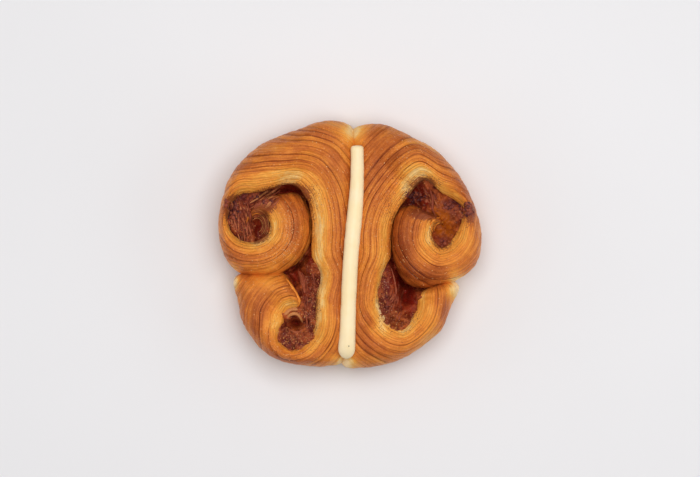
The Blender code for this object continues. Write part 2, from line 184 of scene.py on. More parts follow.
# The filling of each half, as in the solids.
FILLING_FLOOR = 0.6
FILLING_TOP = 29
FILLING_BUMP = 0.7
CREVICE = 9.5  # how far the filling sinks beside the outside of a scroll, and its reach
CREVICE_REACH = 1.9
CREVICE_WIDTHS = (8, 14)  # widths of the dough between which that begins
MEETING = 0.5  # how far it sinks where it meets an inner edge, and its reach
MEETING_REACH = 1.4
FILLING_PITCH = 5.5
FILLING_GRID = 0.28
LEFT_FILLING = {
    "outline": (0.201, 0.957),
    "reliefs": (
        (-51, 12, 7, 9, 2), (-27, 24, 7.5, 4.5, -5), (-42, 8, 5, 5, -2), (-22.5, -17, 6, 6, -4),
        (-17, -26, 2.5, 14, 1), (-25, -31.5, 4, 3, 1.5), (-24.5, -35.5, 3, 2, -5),
        (-25, -43, 6, 4, 0.5),
    ),
}
RIGHT_FILLING = {
    "outline": (0.2, 0.985),
    "reliefs": (
        (28, 21.5, 6, 5, -5), (45, 14, 5, 6, 1.5), (55, 12.5, 5, 6, 3), (43, 5, 5, 5, -2),
        (25, -20, 5.5, 7, -4), (15.5, -23, 3, 12, 1), (21, -34.5, 6, 3.5, 0.5),
    ),
}
SYRUP = (
    (42, 10, 5, 7, 1), (42.4, 5, 3.8, 4.5, 1), (40.5, 15.4, 3.6, 5, 1), (20, -33, 6, 4, 0.5),
    (-20, -15, 4, 8, 0.35), (-24.5, -38, 4, 3, 0.35),
)
GRAINY = (
    (-16.5, -25, 3.5, 16, 0.8), (15, -22, 3.5, 12, 0.9), (-25, -44, 7, 4, 0.9),
    (-50, 11, 8, 10, 0.5), (53, 13, 5, 5, 0.7), (-22, -29, 4, 4, 0.7),
)
HEAPED = (
    (-45, 15.5, 6.5, 4.5, 3.6), (-40.2, 8.5, 2.4, 4.2, -7), (36, 17, 6, 4, 2.5), (46, 12, 4, 5, 2),
    (-25, -13.5, 3.2, 4, -6), (25, -15, 4, 5, -3), (28.2, 22, 4.2, 2.8, -6.5),
    (24.6, -21, 2.7, 5.6, -12), (31, 19, 3.5, 3.5, -3), (-24.2, -35.8, 2.8, 1.6, -6),
    (38.2, 2.6, 2, 3, -1.5),
)
# Patches where the filling is darker: its own deep red colour, with painted shade laid over it in
# the hollows and along the crevices beside the strips.
DARK_AND_SHADED = (
    (-25.5, -14.5, 3.4, 4.4, 1), (-27, 23.8, 7, 3.4, 1.1), (-24.4, -35.6, 3, 1.8, 1),
    (-20.3, -20.6, 1.5, 5, 0.6), (29.2, 22.2, 4.8, 3.4, 1.3), (31.5, 19.5, 4.5, 4.5, 1.2),
    (24.6, -15.5, 5, 6, 1.1), (24.4, -22.4, 4, 6.5, 1.4), (27, -28.2, 2.4, 3, 0.9),
    (22.2, -10, 3, 5, 1), (38.6, 2.8, 2.2, 3, 0.35), (-40.5, 8.8, 3, 4.2, 1.1),
    (-17.6, 5, 1.8, 18, 0.9), (17.8, 6, 1.8, 14, 0.9),
)
DARKEST_PIT = DARK_AND_SHADED[4:6]  # the hollow in the upper pocket of the right half
PLUM = (
    (-52.6, 16, 3.6, 5.2, 1.7), (-43, 21.5, 7, 3.5, 0.8), (-36, 19.5, 6, 3, 0.7),
    (52, 15.6, 4.2, 4, 1.4), (44.5, 17.6, 4.5, 3, 1.15), (41.6, 1.2, 3.2, 2.4, 0.85),
    (-25, -43.6, 6.5, 3.6, 0.85), (16.4, -23, 3, 11, 0.7), (-18, -26, 2.5, 10, 0.5),
    (24.5, 14.6, 4.5, 2.8, 0.5),
)
FIBROUS = ((-48.5, 10, 5, 9, 1), (20.5, -19, 2.5, 9, 0.6), (-19, -9, 3, 5, 0.5))

# The icing: x, y, half width, middle height.
ICING_LINE = (
    (3.1, 44.4, 2.9, 34.2), (3.2, 34, 3, 35.4), (3, 26, 3.1, 35.8), (2.1, 14, 3.4, 36.2),
    (1.1, 4, 3.5, 36.4), (0.2, -7, 3.5, 36.2), (-0.5, -20, 3.4, 35.8), (-1, -33, 3.5, 35.8),
    (-1.3, -42, 3.7, 35.2), (-1.6, -47, 3.8, 34.2), (-1.7, -51.4, 3.6, 32.6),
)
ICING_STEPS = 260
ICING_SIDES = 64
ICING_RISE = 0.95
ICING_ROOT = 9
ICING_TAPER = 0.55
ICING_ENDS = (1.9, 4.2)  # lengths of the far and the near end's rounding
FAR_SQUARENESS = 3.2
ALMOST = 0.999  # how far an end closes, so that its last ring keeps a size
ICING_SPECK = (-0.6, -45.6)
SPECK_SIZE = 0.32

# Torn sheets, laid on what is below them: lines in plan.
STRAND_STEPS = 18
STRAND_SIDES = 7
FIBRE_SIZE = 0.4
FIBRE_TONES = 6  # steps from the darkest fibre to the lightest
DARKEST_FIBRE = 0.12
CORE_UPPER_LEFT = (-42, 8.6)
CORE_RADII = (2.5, 3.2, 3.9, 4.6, 5.3)
LIPS = (  # each a line in plan; height above what is below it, half width, half height, crust
    (((-30.6, -13.9), (-28.3, -16.6), (-25.8, -20.2), (-23.8, -23.4), (-23.1, -26.2), (-24, -28.6)),
     -0.35, 1, 0.9, 0.44),
    (((37, 5.6), (36, 8.4), (37.6, 11), (40.4, 12)), -0.1, 0.5, 0.6, 0.42),
    (((38.2, 4.4), (37.8, 7.4), (39.4, 9.6), (42, 10)), -0.1, 0.5, 0.6, 0.34),
    (((-38.8, 13.4), (-42, 14), (-45.4, 12.4), (-46.8, 9)), 0, 0.45, 0.6, 0.58),
)
FOLDS = (  # folds that show in the filling: each a line in plan, half width, half height, tone
    (((-28.6, -34.6), (-27.8, -32.4), (-25.8, -31.2), (-23.8, -31.4), (-22.4, -33), (-21.4, -35.4)),
     0.85, 1.2, 0.84),
    (((-29.8, -33), (-28.4, -30.6), (-26, -29.2), (-23.4, -29.4)), 1, 0.9, 0.84),
    (((-20.2, -29.6), (-19.8, -32.6), (-19.4, -36.2), (-19.8, -39)), 0.45, 0.7, 0.42),
    (((18.2, -10.2), (19.4, -14), (20.4, -18.6), (20.6, -22), (19.2, -25), (17.2, -28.4)),
     0.45, 0.6, 0.46),
    (((20.6, -21.6), (19.2, -23.6), (17.6, -25.4)), 0.4, 0.6, 0.55),
    (((-27.2, -38.4), (-24.8, -39.6), (-22.6, -39.2), (-21.4, -37.8)), 0.6, 0.7, 0.52),
    (((-23.4, -11), (-22, -14.5), (-21.2, -18), (-20.4, -22)), 1.2, 0.9, 0.46),
    (((35.6, 25), (37, 21), (37, 16), (38.6, 12)), 0.45, 0.6, 0.3),
    (((-30.6, 27.2), (-34.6, 24), (-38.8, 20.6), (-43.6, 16.6)), 0.8, 0.7, 0.62),
    (((-33.4, 27.4), (-37, 24.4), (-41, 21), (-45.4, 18.4)), 0.55, 0.6, 0.74),
    (((-31.6, 24.6), (-35, 21.6), (-38.4, 18.6)), 0.5, 0.6, 0.42),
)
FIBRE_AREAS = (  # x, y, reach x, reach y; way in degrees, count, length, seed, lightest tone
    ((-49, 11.5, 4.8, 6.5), -80, 64, 8, 3, 0.62),
    ((20.5, -27, 4.5, 7), -110, 20, 4.5, 9, 0.45),
    ((-19, -20, 3.5, 10), -85, 30, 5, 14, 0.45),
    ((33, 19.5, 6, 5), -60, 36, 3.6, 21, 0.6),
    ((-38, 20, 6.5, 2.6), 38, 44, 6, 27, 0.76),
)

STRAY = 0.25  # how far grains lie from the points they are sown on
SOWN_ABOVE = 12  # the least height of such a point
SOWN_SLOPE = 0.35  # the least upward part of a normal that holds grains

# Where grains lie on the dough: x, y, reach x, reach y, strength.
SUGARED = (
    (-26.5, 2, 4, 12, 2.2), (-33, -6, 9, 6, 0.6), (-10, 20, 7, 30, 0.35), (-45, -14, 12, 6, 0.3),
    (-30, -45, 14, 8, 0.3), (25, -5, 8, 12, 0.2), (45, -15, 12, 7, 0.2), (30, 40, 20, 10, 0.25),
    (15, 10, 6, 30, 0.2),
)
SPILLED = (
    (-22, 23, 9, 5, 1), (-16.5, 14, 3, 10, 0.6), (17, 17, 4, 9, 0.9), (26, 29, 9, 3.5, 0.7),
    (-36, 23, 8, 4, 0.5), (-25, -42, 9, 7, 0.9), (21, -36, 10, 6, 0.8), (-15, -25, 2.5, 16, 0.7),
    (13, -22, 2.5, 14, 0.6), (54, 13, 5, 6, 1.2), (-54, 14, 5, 7, 1), (30, -26, 3, 10, 0.25),
    (-41, 2, 9, 4, 0.6), (41, -2, 8, 4, 0.5),
)

# Fixed tones in the looks.
BROWNING = (0.0, 0.20, 0.336, 0.552, 0.744, 1.0)  # where the six colours of dough stand
# Grooves between the sheets: painted shade, with some browning.
GROOVE_SHADE_TONE = (0.36, 0.22, 0.17)
# Cinnamon stains, also used as painted shade along the crevices beside the strips.
STAIN_AND_SHADE_TONE = (0.21, 0.040, 0.015)
DOT_TONE = (0.24, 0.055, 0.014)
SUGAR_TONE = (0.90, 0.48, 0.20)
FIBRE_TONE = (0.36, 0.15, 0.065)
PLUM_TONE = (0.19, 0.034, 0.030)
# Deep red of the filling, also used as painted shade in its hollows and crevices.
DEEP_AND_SHADE_TONE = (0.23, 0.012, 0.004)
GRAIN_TONE = (0.64, 0.32, 0.20)
PORE_TONE = (0.55, 0.38, 0.20)
WARMER = (0.985, 0.95, 0.84)  # the icing's mottle, as shares of its colour
FLOOR_SHADE = 0.985
SHEEN = 0.18  # specular level of every look

# The view from straight above, and the light.
VIEW_HEIGHT = 2.5
VIEW_AIM = (-0.0001, 0.0026)
VIEW_LEVEL = 0.028
VIEW_WIDTH = 0.315
SENSOR = 36
FLOOR_HALF = 3000
SKY = (1.0, 0.995, 1.0, 1.0)
LAMPS = (  # name, place, side of the square, share of the key light's power
    ("key_light", (0.045, 0.09, 0.85), 0.5, 1),
    ("left_light", (-0.62, 0.02, 0.3), 0.6, 0.16),
    ("right_light", (0.62, -0.04, 0.3), 0.6, 0.18),
)


# Numbers that vary smoothly or by chance, always the same.

MIXERS = (2246822519, 3266489917, 668265263)
WORD = 0xFFFFFFFF


def chance(cells, seed):
    """A fixed number from 0 to 1 for each lattice cell, by mixing its whole-number coordinates."""
    mixed = np.full(np.shape(cells[0]), (seed * 40503 + 977) & WORD, np.uint64)
    for axis, factor in zip(cells, MIXERS):
        whole = np.asarray(axis).astype(np.int64).astype(np.uint64)
        mixed = ((mixed ^ (whole * np.uint64(factor))) & np.uint64(WORD)) * np.uint64(2654435761)
        mixed = (mixed ^ (mixed >> np.uint64(15))) & np.uint64(WORD)
    return (mixed & np.uint64(0xFFFFFF)).astype(float) / 0xFFFFFF


def drift(place, sizes, seed):
    """Value noise from -1 to 1: chance at the corners of a lattice with these cell sizes, blended
    between them by smooth steps."""
    place = [np.asarray(p) / s for p, s in zip(place, sizes)]
    cell = [np.floor(p) for p in place]
    step = [(p - c) ** 2 * (3 - 2 * (p - c)) for p, c in zip(place, cell)]
    total = 0.0
    for corner in itertools.product((0, 1), repeat=len(place)):
        weight = 1.0
        for t, c in zip(step, corner):
            weight = weight * (t if c else 1 - t)
        total = total + weight * chance([a + c for a, c in zip(cell, corner)], seed)
    return 2 * total - 1


def crumble(place, size, seed, octaves=3):
    """Noise with finer noise added to it, each octave half as large and half as strong."""
    total, scale = 0.0, 1.0
    for octave in range(octaves):
        total = total + scale * drift(place, (size * scale,) * len(place), seed + 17 * octave)
        scale *= 0.5
    return total


def patches(x, y, places):
    """The sum of bells, strength times exp(-(dx/reach)^2 - (dy/reach)^2), over these patches."""
    total = np.zeros(np.shape(x))
    for centre_x, centre_y, reach_x, reach_y, strength in places:
        away = ((x - centre_x) / reach_x) ** 2 + ((y - centre_y) / reach_y) ** 2
        total += strength * np.exp(-away)
    return total


def ramp(value, low, high):
    """A smooth step from 0 at low to 1 at high."""
    t = np.clip((value - low) / (high - low), 0.0, 1.0)
    return t * t * (3 - 2 * t)


# Meshes.


def discard(name):
    if name in bpy.data.objects:
        bpy.data.objects.remove(bpy.data.objects[name])


def piece(name, points, faces, look, attributes=None):
    """A smooth object from points in millimetres and a list of arrays of faces, each array with
    its own number of corners. Attributes are one number for each point."""
    discard(name)
    mesh = bpy.data.meshes.new(name)
    sizes = np.concatenate([np.full(len(g), g.shape[1], np.int32) for g in faces])
    corners = np.concatenate([g.reshape(-1) for g in faces]).astype(np.int32)
    mesh.vertices.add(len(points))
    mesh.vertices.foreach_set("co", (points * MM).astype(np.float32).ravel())
    mesh.loops.add(len(corners))
    mesh.loops.foreach_set("vertex_index", corners)
    mesh.polygons.add(len(sizes))
    mesh.polygons.foreach_set("loop_start", np.r_[0, np.cumsum(sizes)[:-1]].astype(np.int32))
    mesh.update(calc_edges=True)
    mesh.validate()
    for key, values in (attributes or {}).items():
        made = mesh.attributes.new(key, "FLOAT", "POINT")
        made.data.foreach_set("value", np.asarray(values, np.float32).ravel())
    mesh.shade_smooth()
    mesh.materials.append(look)
    obj = bpy.data.objects.new(name, mesh)
    bpy.context.scene.collection.objects.link(obj)
    return obj


def read(data, name, width, kind=np.float32):
    """What all these elements hold under this name, one row for each."""
    found = np.empty(len(data) * width, kind)
    data.foreach_get(name, found)
    return found.reshape(-1, width)


def lay_out(obj, u, v):
    """Gives the object a UV map from one (u, v) for each point."""
    corners = read(obj.data.loops, "vertex_index", 1, np.int32)[:, 0]
    layer = obj.data.uv_layers.new(name="layers")
    layer.data.foreach_set("uv", np.c_[u.ravel(), v.ravel()][corners].astype(np.float32).ravel())


def tube(rings, sides):
    """Quads between closed rings, and one face over each end."""
    i, j = np.meshgrid(np.arange(rings - 1), np.arange(sides), indexing="ij")
    k = (j + 1) % sides
    quads = np.stack([i * sides + j, i * sides + k, (i + 1) * sides + k, (i + 1) * sides + j], -1)
    near = np.arange(sides - 1, -1, -1)[None]
    far = np.arange(sides)[None] + (rings - 1) * sides
    return [quads.reshape(-1, 4), near, far]


def outwards(points, faces):
    """The faces turned round if they enclose a negative volume."""
    quads = faces[0]
    a, b, c, d = (points[quads[:, n]] for n in range(4))
    volume = np.einsum("ij,ij->", a, np.cross(b, c)) + np.einsum("ij,ij->", a, np.cross(c, d))
    return faces if volume > 0 else [g[:, ::-1] for g in faces]


# The band of dough.


def cubic_through(rows, lengths, at):
    """Rows read at new places from a smooth curve through rows that stand at these lengths."""
    step = np.diff(lengths)[:, None]
    slope = np.diff(rows, axis=0) / step
    tangent = np.empty_like(rows)
    tangent[1:-1] = (slope[:-1] * step[1:] + slope[1:] * step[:-1]) / (step[:-1] + step[1:])
    tangent[0] = slope[0]
    tangent[-1] = slope[-1]
    part = np.clip(np.searchsorted(lengths, at, side="right") - 1, 0, len(step) - 1)
    t = (at - lengths[part])[:, None] / step[part]
    return (
        (2 * t**3 - 3 * t**2 + 1) * rows[part]
        + (t**3 - 2 * t**2 + t) * step[part] * tangent[part]
        + (3 * t**2 - 2 * t**3) * rows[part + 1]
        + (t**3 - t**2) * step[part] * tangent[part + 1]
    )


def scroll_sections(scroll):
    """One row for each section of a scroll: inner x, y, outer x, y and crest height."""
    angle, inner, outer, crest = np.array(scroll["rows"], float).T
    way = np.c_[np.cos(np.radians(angle)), np.sin(np.radians(angle))]
    centre = np.array(scroll["centre"])
    return np.c_[centre + inner[:, None] * way, centre + outer[:, None] * way, crest]


def band_sections(upper, strip, lower):
    """Sections of a whole band, from the upper core to the lower one, and their places along it:
    a smooth curve through the named rows, its crest swelling by the product of two sine waves."""
    rows = np.vstack([scroll_sections(upper), np.array(strip, float), scroll_sections(lower)])
    moved = np.diff(rows, axis=0)
    stride = (np.hypot(moved[:, 0], moved[:, 1]) + np.hypot(moved[:, 2], moved[:, 3])) / 2
    lengths = np.r_[0.0, np.cumsum(stride)]
    along = np.linspace(0, lengths[-1], STATIONS)
    sections = cubic_through(rows, lengths, along)
    sections[:, 4] += SWELL * (np.sin(along / SWELL_PACE[0]) * np.sin(along / SWELL_PACE[1] + 1.0))
    return sections, along


def crest_share(across):
    """Height of the section's top at this share of its width, as a share of the crest: a parabola
    from the inner edge to the crest, and a quarter of an ellipse from there to the outer edge."""
    inside = 1.0 - INNER_DROP * ((CREST_AT - across) / CREST_AT) ** 2
    round_off = np.clip((across - CREST_AT) / (1.0 - CREST_AT), 0.0, 1.0)
    outside = 1.0 - OUTER_DROP * (1.0 - np.sqrt(1.0 - round_off**2))
    return np.where(across < CREST_AT, inside, outside)


def section_rows():
    """(across, height) of a section's closed outline as shares of its width and crest height: up
    the inner wall, over the top, down the outer wall and back under it. The rows on top are even
    halfway between even in plan and even over the surface."""
    fine = np.linspace(0, 1, 4001)
    steps = np.hypot(np.diff(fine) * MEAN_WIDTH, np.diff(crest_share(fine)) * MEAN_HEIGHT)
    length = np.r_[0, np.cumsum(steps)]
    mixed = 0.5 * fine + 0.5 * length / length[-1]
    across = np.interp(np.linspace(0, 1, TOP_ROWS), mixed, fine)
    wall_in = np.linspace(0, 1, INNER_ROWS + 1)[:-1] * (1.0 - INNER_DROP)
    wall_out = np.linspace(1, 0, OUTER_ROWS + 1)[1:] * (1.0 - OUTER_DROP)
    under = np.linspace(1, 0, UNDER_ROWS + 2)[1:-1]
    share = np.r_[np.zeros(INNER_ROWS), across, np.ones(OUTER_ROWS), under]
    level = np.r_[wall_in, crest_share(across), wall_out, np.zeros(UNDER_ROWS)]
    return share, level


def layers(distance, along, thickness, gap, width_step, seed):
    """The sheets of the dough, cut by the distance from the band's inner edge. Returns the groove
    between two sheets from 0 to 1, each sheet's own height from -1 to 1 and the place within it
    from 0 to 1. Sheets differ in thickness, and drift apart and together along the band."""
    bend = sum(
        size * drift((along, distance), cells, seed + k) for k, (size, cells) in enumerate(BENDS)
    )
    reach = distance + bend + 3.0
    least, more = SHEET_SIZES
    sizes = thickness * (least + more * chance([np.arange(SHEETS)], seed + 2))
    cuts = np.r_[0, np.cumsum(sizes)]
    number = np.clip(np.searchsorted(cuts, reach, side="right") - 1, 0, SHEETS - 1)
    within = np.clip((reach - cuts[number]) / (cuts[number + 1] - cuts[number]), 0, 1)
    lift = drift((along, number * 1.0), (17.0, 1.0), seed + 3)
    border = number + (within > 0.5)
    near = np.abs(np.where(within > 0.5, cuts[number + 1] - reach, reach - cuts[number]))
    apart = np.clip(0.75 + 0.95 * drift((along, border * 1.0), (30.0, 1.0), seed + 4), 0, 1)
    spread = np.maximum(gap, 0.6 * width_step)
    return apart * np.exp(-((near / spread) ** 2)), lift, within


def plain_band(half):
    """The band without its crust: each section's outline stands square to the band's middle line.
    It narrows to a blunt round at both ends and is rounded off along the inner edge, and its outer
    wall leans in by the square of the depth, less and less towards the seam."""
    sections, along = band_sections(*half)
    inner, outer, crest = sections[:, 0:2], sections[:, 2:4], sections[:, 4]
    width = np.linalg.norm(outer - inner, axis=1)
    to_end = np.minimum(along, along[-1] - along)
    blunt = np.sqrt(1.0 - END_BLUNTNESS * (1.0 - np.clip(to_end / END_ROUND, 0.0, 1.0)) ** 2)
    from_seam = np.clip(np.abs(outer[:, 0]) / SEAM_REACH, 0, 1)
    inset = np.minimum(WALL_INSET, INSET_SHARE * width) * from_seam
    share, level = section_rows()
    rows_up = np.arange(len(share)) < TOP_ROWS + INNER_ROWS
    on_top = (level > 1.0 - OUTER_DROP - 1e-9) & rows_up
    wall = (share == 1.0) & (level < 1.0 - OUTER_DROP)
    offset = (share - 0.5) * (width * blunt)[:, None]
    offset -= np.where(wall, inset[:, None] * (1.0 - level / (1.0 - OUTER_DROP)) ** 2, 0.0)
    height = level * (crest * (1.0 - END_DIP * (1.0 - blunt)))[:, None]
    lip = 1.0 - np.clip(share * (width * blunt)[:, None] / LIP, 0.0, 1.0)
    height -= np.where(on_top, LIP_DROP * (1.0 - np.sqrt(1.0 - lip**2)), 0.0)
    down = np.where(wall, WALL_SLOPE * (crest[:, None] * 0.5 - height), 0)
    return SimpleNamespace(
        run=np.broadcast_to(along[:, None], offset.shape), middle=(inner + outer) / 2,
        way=(outer - inner) / width[:, None], share=share, level=level, on_top=on_top,
        offset=offset, height=height, distance=share * width[:, None] + down,
    )


def crust_relief(band, x, y, seed, thickness, groove_depth, blister):
    """How far the crust lies outside the plain band: blisters of two sizes, and steps where a sheet
    or a slab of sheets stands higher, less the grooves between them. Also how far the sheets and
    slabs lift, as far as they show, and the grooves."""
    share, distance, run = band.share, band.distance, band.run
    step = np.abs(np.gradient(distance, axis=1))
    fine_groove, lift, within = layers(distance, run, thickness, FINE_GAP, step, seed)
    wide_groove, slab, _ = layers(distance, run, SLAB * thickness, WIDE_GAP, step, seed + 60)
    bare = np.clip(1 - patches(x, y, SMOOTH), 0, 1)
    shown = np.where(band.on_top, 1.0, WALL_SHOWN * (share == 1.0)) * bare
    shown = shown * ramp(band.height, *SHEETS_END)
    open_layers = 0.75 + patches(x, y, OPEN_LAYERS)
    outer_part = ramp(share, 0.10, 0.50)
    groove = (0.60 - 0.12 * outer_part) * fine_groove + wide_groove * (0.45 + 0.60 * outer_part)
    groove = np.minimum(groove * shown * np.clip(open_layers, 0, 1.4), 1.1)
    place = (x, y, band.height)
    lump = crumble(place, 6.0, seed + 20) * ramp(band.height, 0.5, 6.0)
    fine = drift(place, (1.3,) * 3, seed + 30) * ramp(band.height, 0.5, 6.0)
    push = blister * (0.55 * lump + 0.25 * fine) - blister * 0.35
    steps = 0.10 * lift + 0.22 * slab + 0.16 * (0.5 - within)
    push = push + shown * steps * np.clip(open_layers, 0, 1.2)
    rim = band.on_top & (share > RIM_START)
    push = np.minimum(push, np.where(rim, 0.0, 1.0)) - groove_depth * groove
    lifted = (0.09 * lift + 0.10 * slab) * shown
    return np.where(band.level == 0.0, 0.0, push), lifted, groove


def browning(band, x, y, height, place, lifted, seed):
    """How brown the crust is, how stained by filling, with painted shade along the crevices beside
    the strips, and how near the inner edge: paler along the inner edge and down the walls, with
    patches, drifts and sheets that browned more or less."""
    share, on_top = band.share, band.on_top
    crust = 0.20 + 0.40 * ramp(share, 0.02, 0.55) - 0.10 * ramp(share, 0.80, 1.0)
    walls = np.where(band.level == 0, 0.62, 0.36 + 0.16 * ramp(height, 2, 20))
    crust = np.where(on_top, crust, walls)
    softer = 0.62 + 0.25 * drift(place, (4.0,) * 3, seed + 50)
    # Paler patches, some of them painted light on dough in shade.
    paler = patches(x, y, PALER_AND_LIT) * np.where(on_top, 1.0, softer)
    crust = crust + patches(x, y, BROWNER) - paler
    crust = crust + 0.06 * crumble(place, 9.0, seed + 40) + lifted
    inwards = np.maximum(band.distance, 0)
    spilled = np.clip(patches(x, y, SPILLED), 0, 1) * np.exp(-inwards / 3.0)
    stain = (patches(x, y, STAINS_AND_SHADE) + 0.75 * spilled) * on_top
    return {"crust": crust, "stain": stain, "edge": on_top * np.exp(-(inwards / 2.2) ** 2)}


def dough_band(name, half, seed, thickness, groove_depth, blister, look):
    """A half's band: the plain band with every point moved square to the section's outline by the
    relief of its crust."""
    band = plain_band(half)
    x = band.middle[:, :1] + band.way[:, :1] * band.offset
    y = band.middle[:, 1:] + band.way[:, 1:] * band.offset
    place = (x, y, band.height)
    push, lifted, groove = crust_relief(band, x, y, seed, thickness, groove_depth, blister)
    d_offset = np.roll(band.offset, -1, 1) - np.roll(band.offset, 1, 1)
    d_height = np.roll(band.height, -1, 1) - np.roll(band.height, 1, 1)
    long = np.maximum(np.hypot(d_offset, d_height), 1e-6)
    shift = -d_height / long * push
    x = x + band.way[:, :1] * shift
    y = y + band.way[:, 1:] * shift
    height = band.height + d_offset / long * push
    fields = browning(band, x, y, height, place, lifted, seed)
    points = np.stack([x, y, np.maximum(height, 0.0)], -1).reshape(-1, 3)
    faces = outwards(points, tube(*x.shape))
    obj = piece(name, points, faces, look, {**fields, "groove": groove})
    lay_out(obj, band.run / 100.0, band.distance / 100.0)
    return obj


# The filling.


def inside_of(x, y, outline):
    """True for the points inside a closed outline, by counting the sides crossed to their right."""
    after = np.roll(outline, -1, axis=0)
    crossed = np.zeros(x.shape, bool)
    for (ax, ay), (bx, by) in zip(outline, after):
        between = (ay > y) != (by > y)
        reach = (bx - ax) * (y - ay) / np.where(by == ay, 1e-9, by - ay) + ax
        crossed ^= between & (x < reach)
    return crossed


def onto(points, outline):
    """The nearest places on a closed outline."""
    start, side = outline, np.roll(outline, -1, axis=0) - outline
    apart = points[:, None] - start[None]
    t = np.clip((apart * side).sum(-1) / np.maximum((side**2).sum(-1), 1e-9), 0, 1)
    nearest = start + t[..., None] * side
    pick = np.argmin(((nearest - points[:, None]) ** 2).sum(-1), axis=1)
    return nearest[np.arange(len(points)), pick]


def filling_height(x, y, reliefs):
    """Height of the filling's top: a level with rises and hollows, and small bumps all over."""
    pace = 2 * math.pi / FILLING_PITCH
    bumps = np.sin(pace * x + 1.3 * np.sin(0.4 * y)) * np.sin(pace * y + 1.1 * np.sin(0.5 * x))
    return FILLING_TOP + patches(x, y, reliefs) + FILLING_BUMP * bumps


def away_from(x, y, line):
    """The distance of each point to the nearest point of a line, and that point's number."""
    nearest, number = np.empty(len(x)), np.empty(len(x), int)
    for k in range(8):
        apart = np.hypot(x[k::8, None] - line[:, 0], y[k::8, None] - line[:, 1])
        number[k::8] = np.argmin(apart, axis=1)
        nearest[k::8] = apart[np.arange(len(apart)), number[k::8]]
    return nearest, number


def filling_outline(sections, shape):
    """The middle line of the band along this share of its length, which bounds the filling."""
    middle = (sections[:, 0:2] + sections[:, 2:4]) / 2
    first, last = (round(s * (STATIONS - 1)) for s in shape["outline"])
    return middle[first : last + 1]


def filling_surface(x, y, sections, outline, reliefs, seed, lumps):
    """Height of the filling at these points: its level, lumps of several sizes, fibres where it is
    fibrous, and dips that fade as a bell beside the outside of a scroll and along the inner edge
    of the dough. Also the fields that colour it."""
    fibre = drift((x, y), (0.55, 5.0), seed + 1) * np.clip(patches(x, y, FIBROUS), 0, 1)
    syrup = np.clip(patches(x, y, SYRUP), 0, 1)
    lump = crumble((x, y), 3.2, seed + 2, 4) * (1 - 0.55 * syrup)
    height = filling_height(x, y, reliefs) + patches(x, y, HEAPED) + lumps * lump + 0.5 * fibre
    facing = sections[inside_of(sections[:, 2], sections[:, 3], outline)]
    wide = np.hypot(facing[:, 2] - facing[:, 0], facing[:, 3] - facing[:, 1])
    beside, number = away_from(x, y, facing[:, 2:4])
    meeting, _ = away_from(x, y, sections[:, 0:2])
    deep = CREVICE * ramp(wide[number], *CREVICE_WIDTHS)
    height -= deep * np.exp(-((beside / CREVICE_REACH) ** 2))
    height -= MEETING * np.exp(-((meeting / MEETING_REACH) ** 2))
    return height, {"syrup": syrup, "fibre": fibre, "lump": lump}


def filling_bed(name, half, shape, seed, lumps, look):
    """The filling in one half's pockets: a height over each point of a grid inside the middle line
    of the band, closed by an upright wall and a flat underside."""
    sections, _ = band_sections(*half)
    outline = filling_outline(sections, shape)
    low, high = outline.min(0) - FILLING_GRID, outline.max(0) + FILLING_GRID
    xs = np.arange(low[0], high[0], FILLING_GRID)
    ys = np.arange(low[1], high[1], FILLING_GRID)
    x, y = np.meshgrid(xs, ys, indexing="ij")
    cells = inside_of(x[:-1, :-1] + FILLING_GRID / 2, y[:-1, :-1] + FILLING_GRID / 2, outline)
    wide, long = cells.shape
    touched = np.zeros(x.shape, int)
    for i, j in itertools.product((0, 1), repeat=2):
        touched[i : i + wide, j : j + long] += cells
    used = touched > 0
    rim = used & (touched < 4)
    x[rim], y[rim] = onto(np.c_[x[rim], y[rim]], outline).T
    x, y = x[used], y[used]
    height, given = filling_surface(x, y, sections, outline, shape["reliefs"], seed, lumps)
    number = np.cumsum(used.ravel()).reshape(used.shape) - 1
    corners = ((0, 0), (1, 0), (1, 1), (0, 1))
    top = np.stack([number[i : i + wide, j : j + long][cells] for i, j in corners], -1)
    sides = np.concatenate([top[:, [k, (k + 1) % 4]] for k in range(4)])
    key = np.sort(sides, axis=1)
    _, index, uses = np.unique(key, axis=0, return_inverse=True, return_counts=True)
    start, stop = sides[uses[index.reshape(-1)] == 1].T
    wall = np.stack([stop, start, start + len(x), stop + len(x)], -1)
    for label, places in (("grainy", GRAINY), ("dark", DARK_AND_SHADED), ("plum", PLUM)):
        given[label] = np.clip(patches(x, y, places), 0, 1)
    fields = {label: np.tile(values, 2) for label, values in given.items()}
    under = np.full(len(x), FILLING_FLOOR)
    points = np.c_[np.tile(x, 2), np.tile(y, 2), np.r_[height, under]]
    faces = [np.concatenate([top, wall, top[:, ::-1] + len(x)])]
    return piece(name, points, faces, look, fields)


# The icing.


def rings(middle, out, up):
    """Closed rings carried along a line: x, y and height of points that stand this far out, level
    and square to the line, and this far up."""
    way = np.gradient(middle[:, :2], axis=0)
    way /= np.maximum(np.linalg.norm(way, axis=1), 1e-9)[:, None]
    x = middle[:, :1] - way[:, 1:] * out
    y = middle[:, 1:2] + way[:, :1] * out
    return x, y, middle[:, 2:3] + up


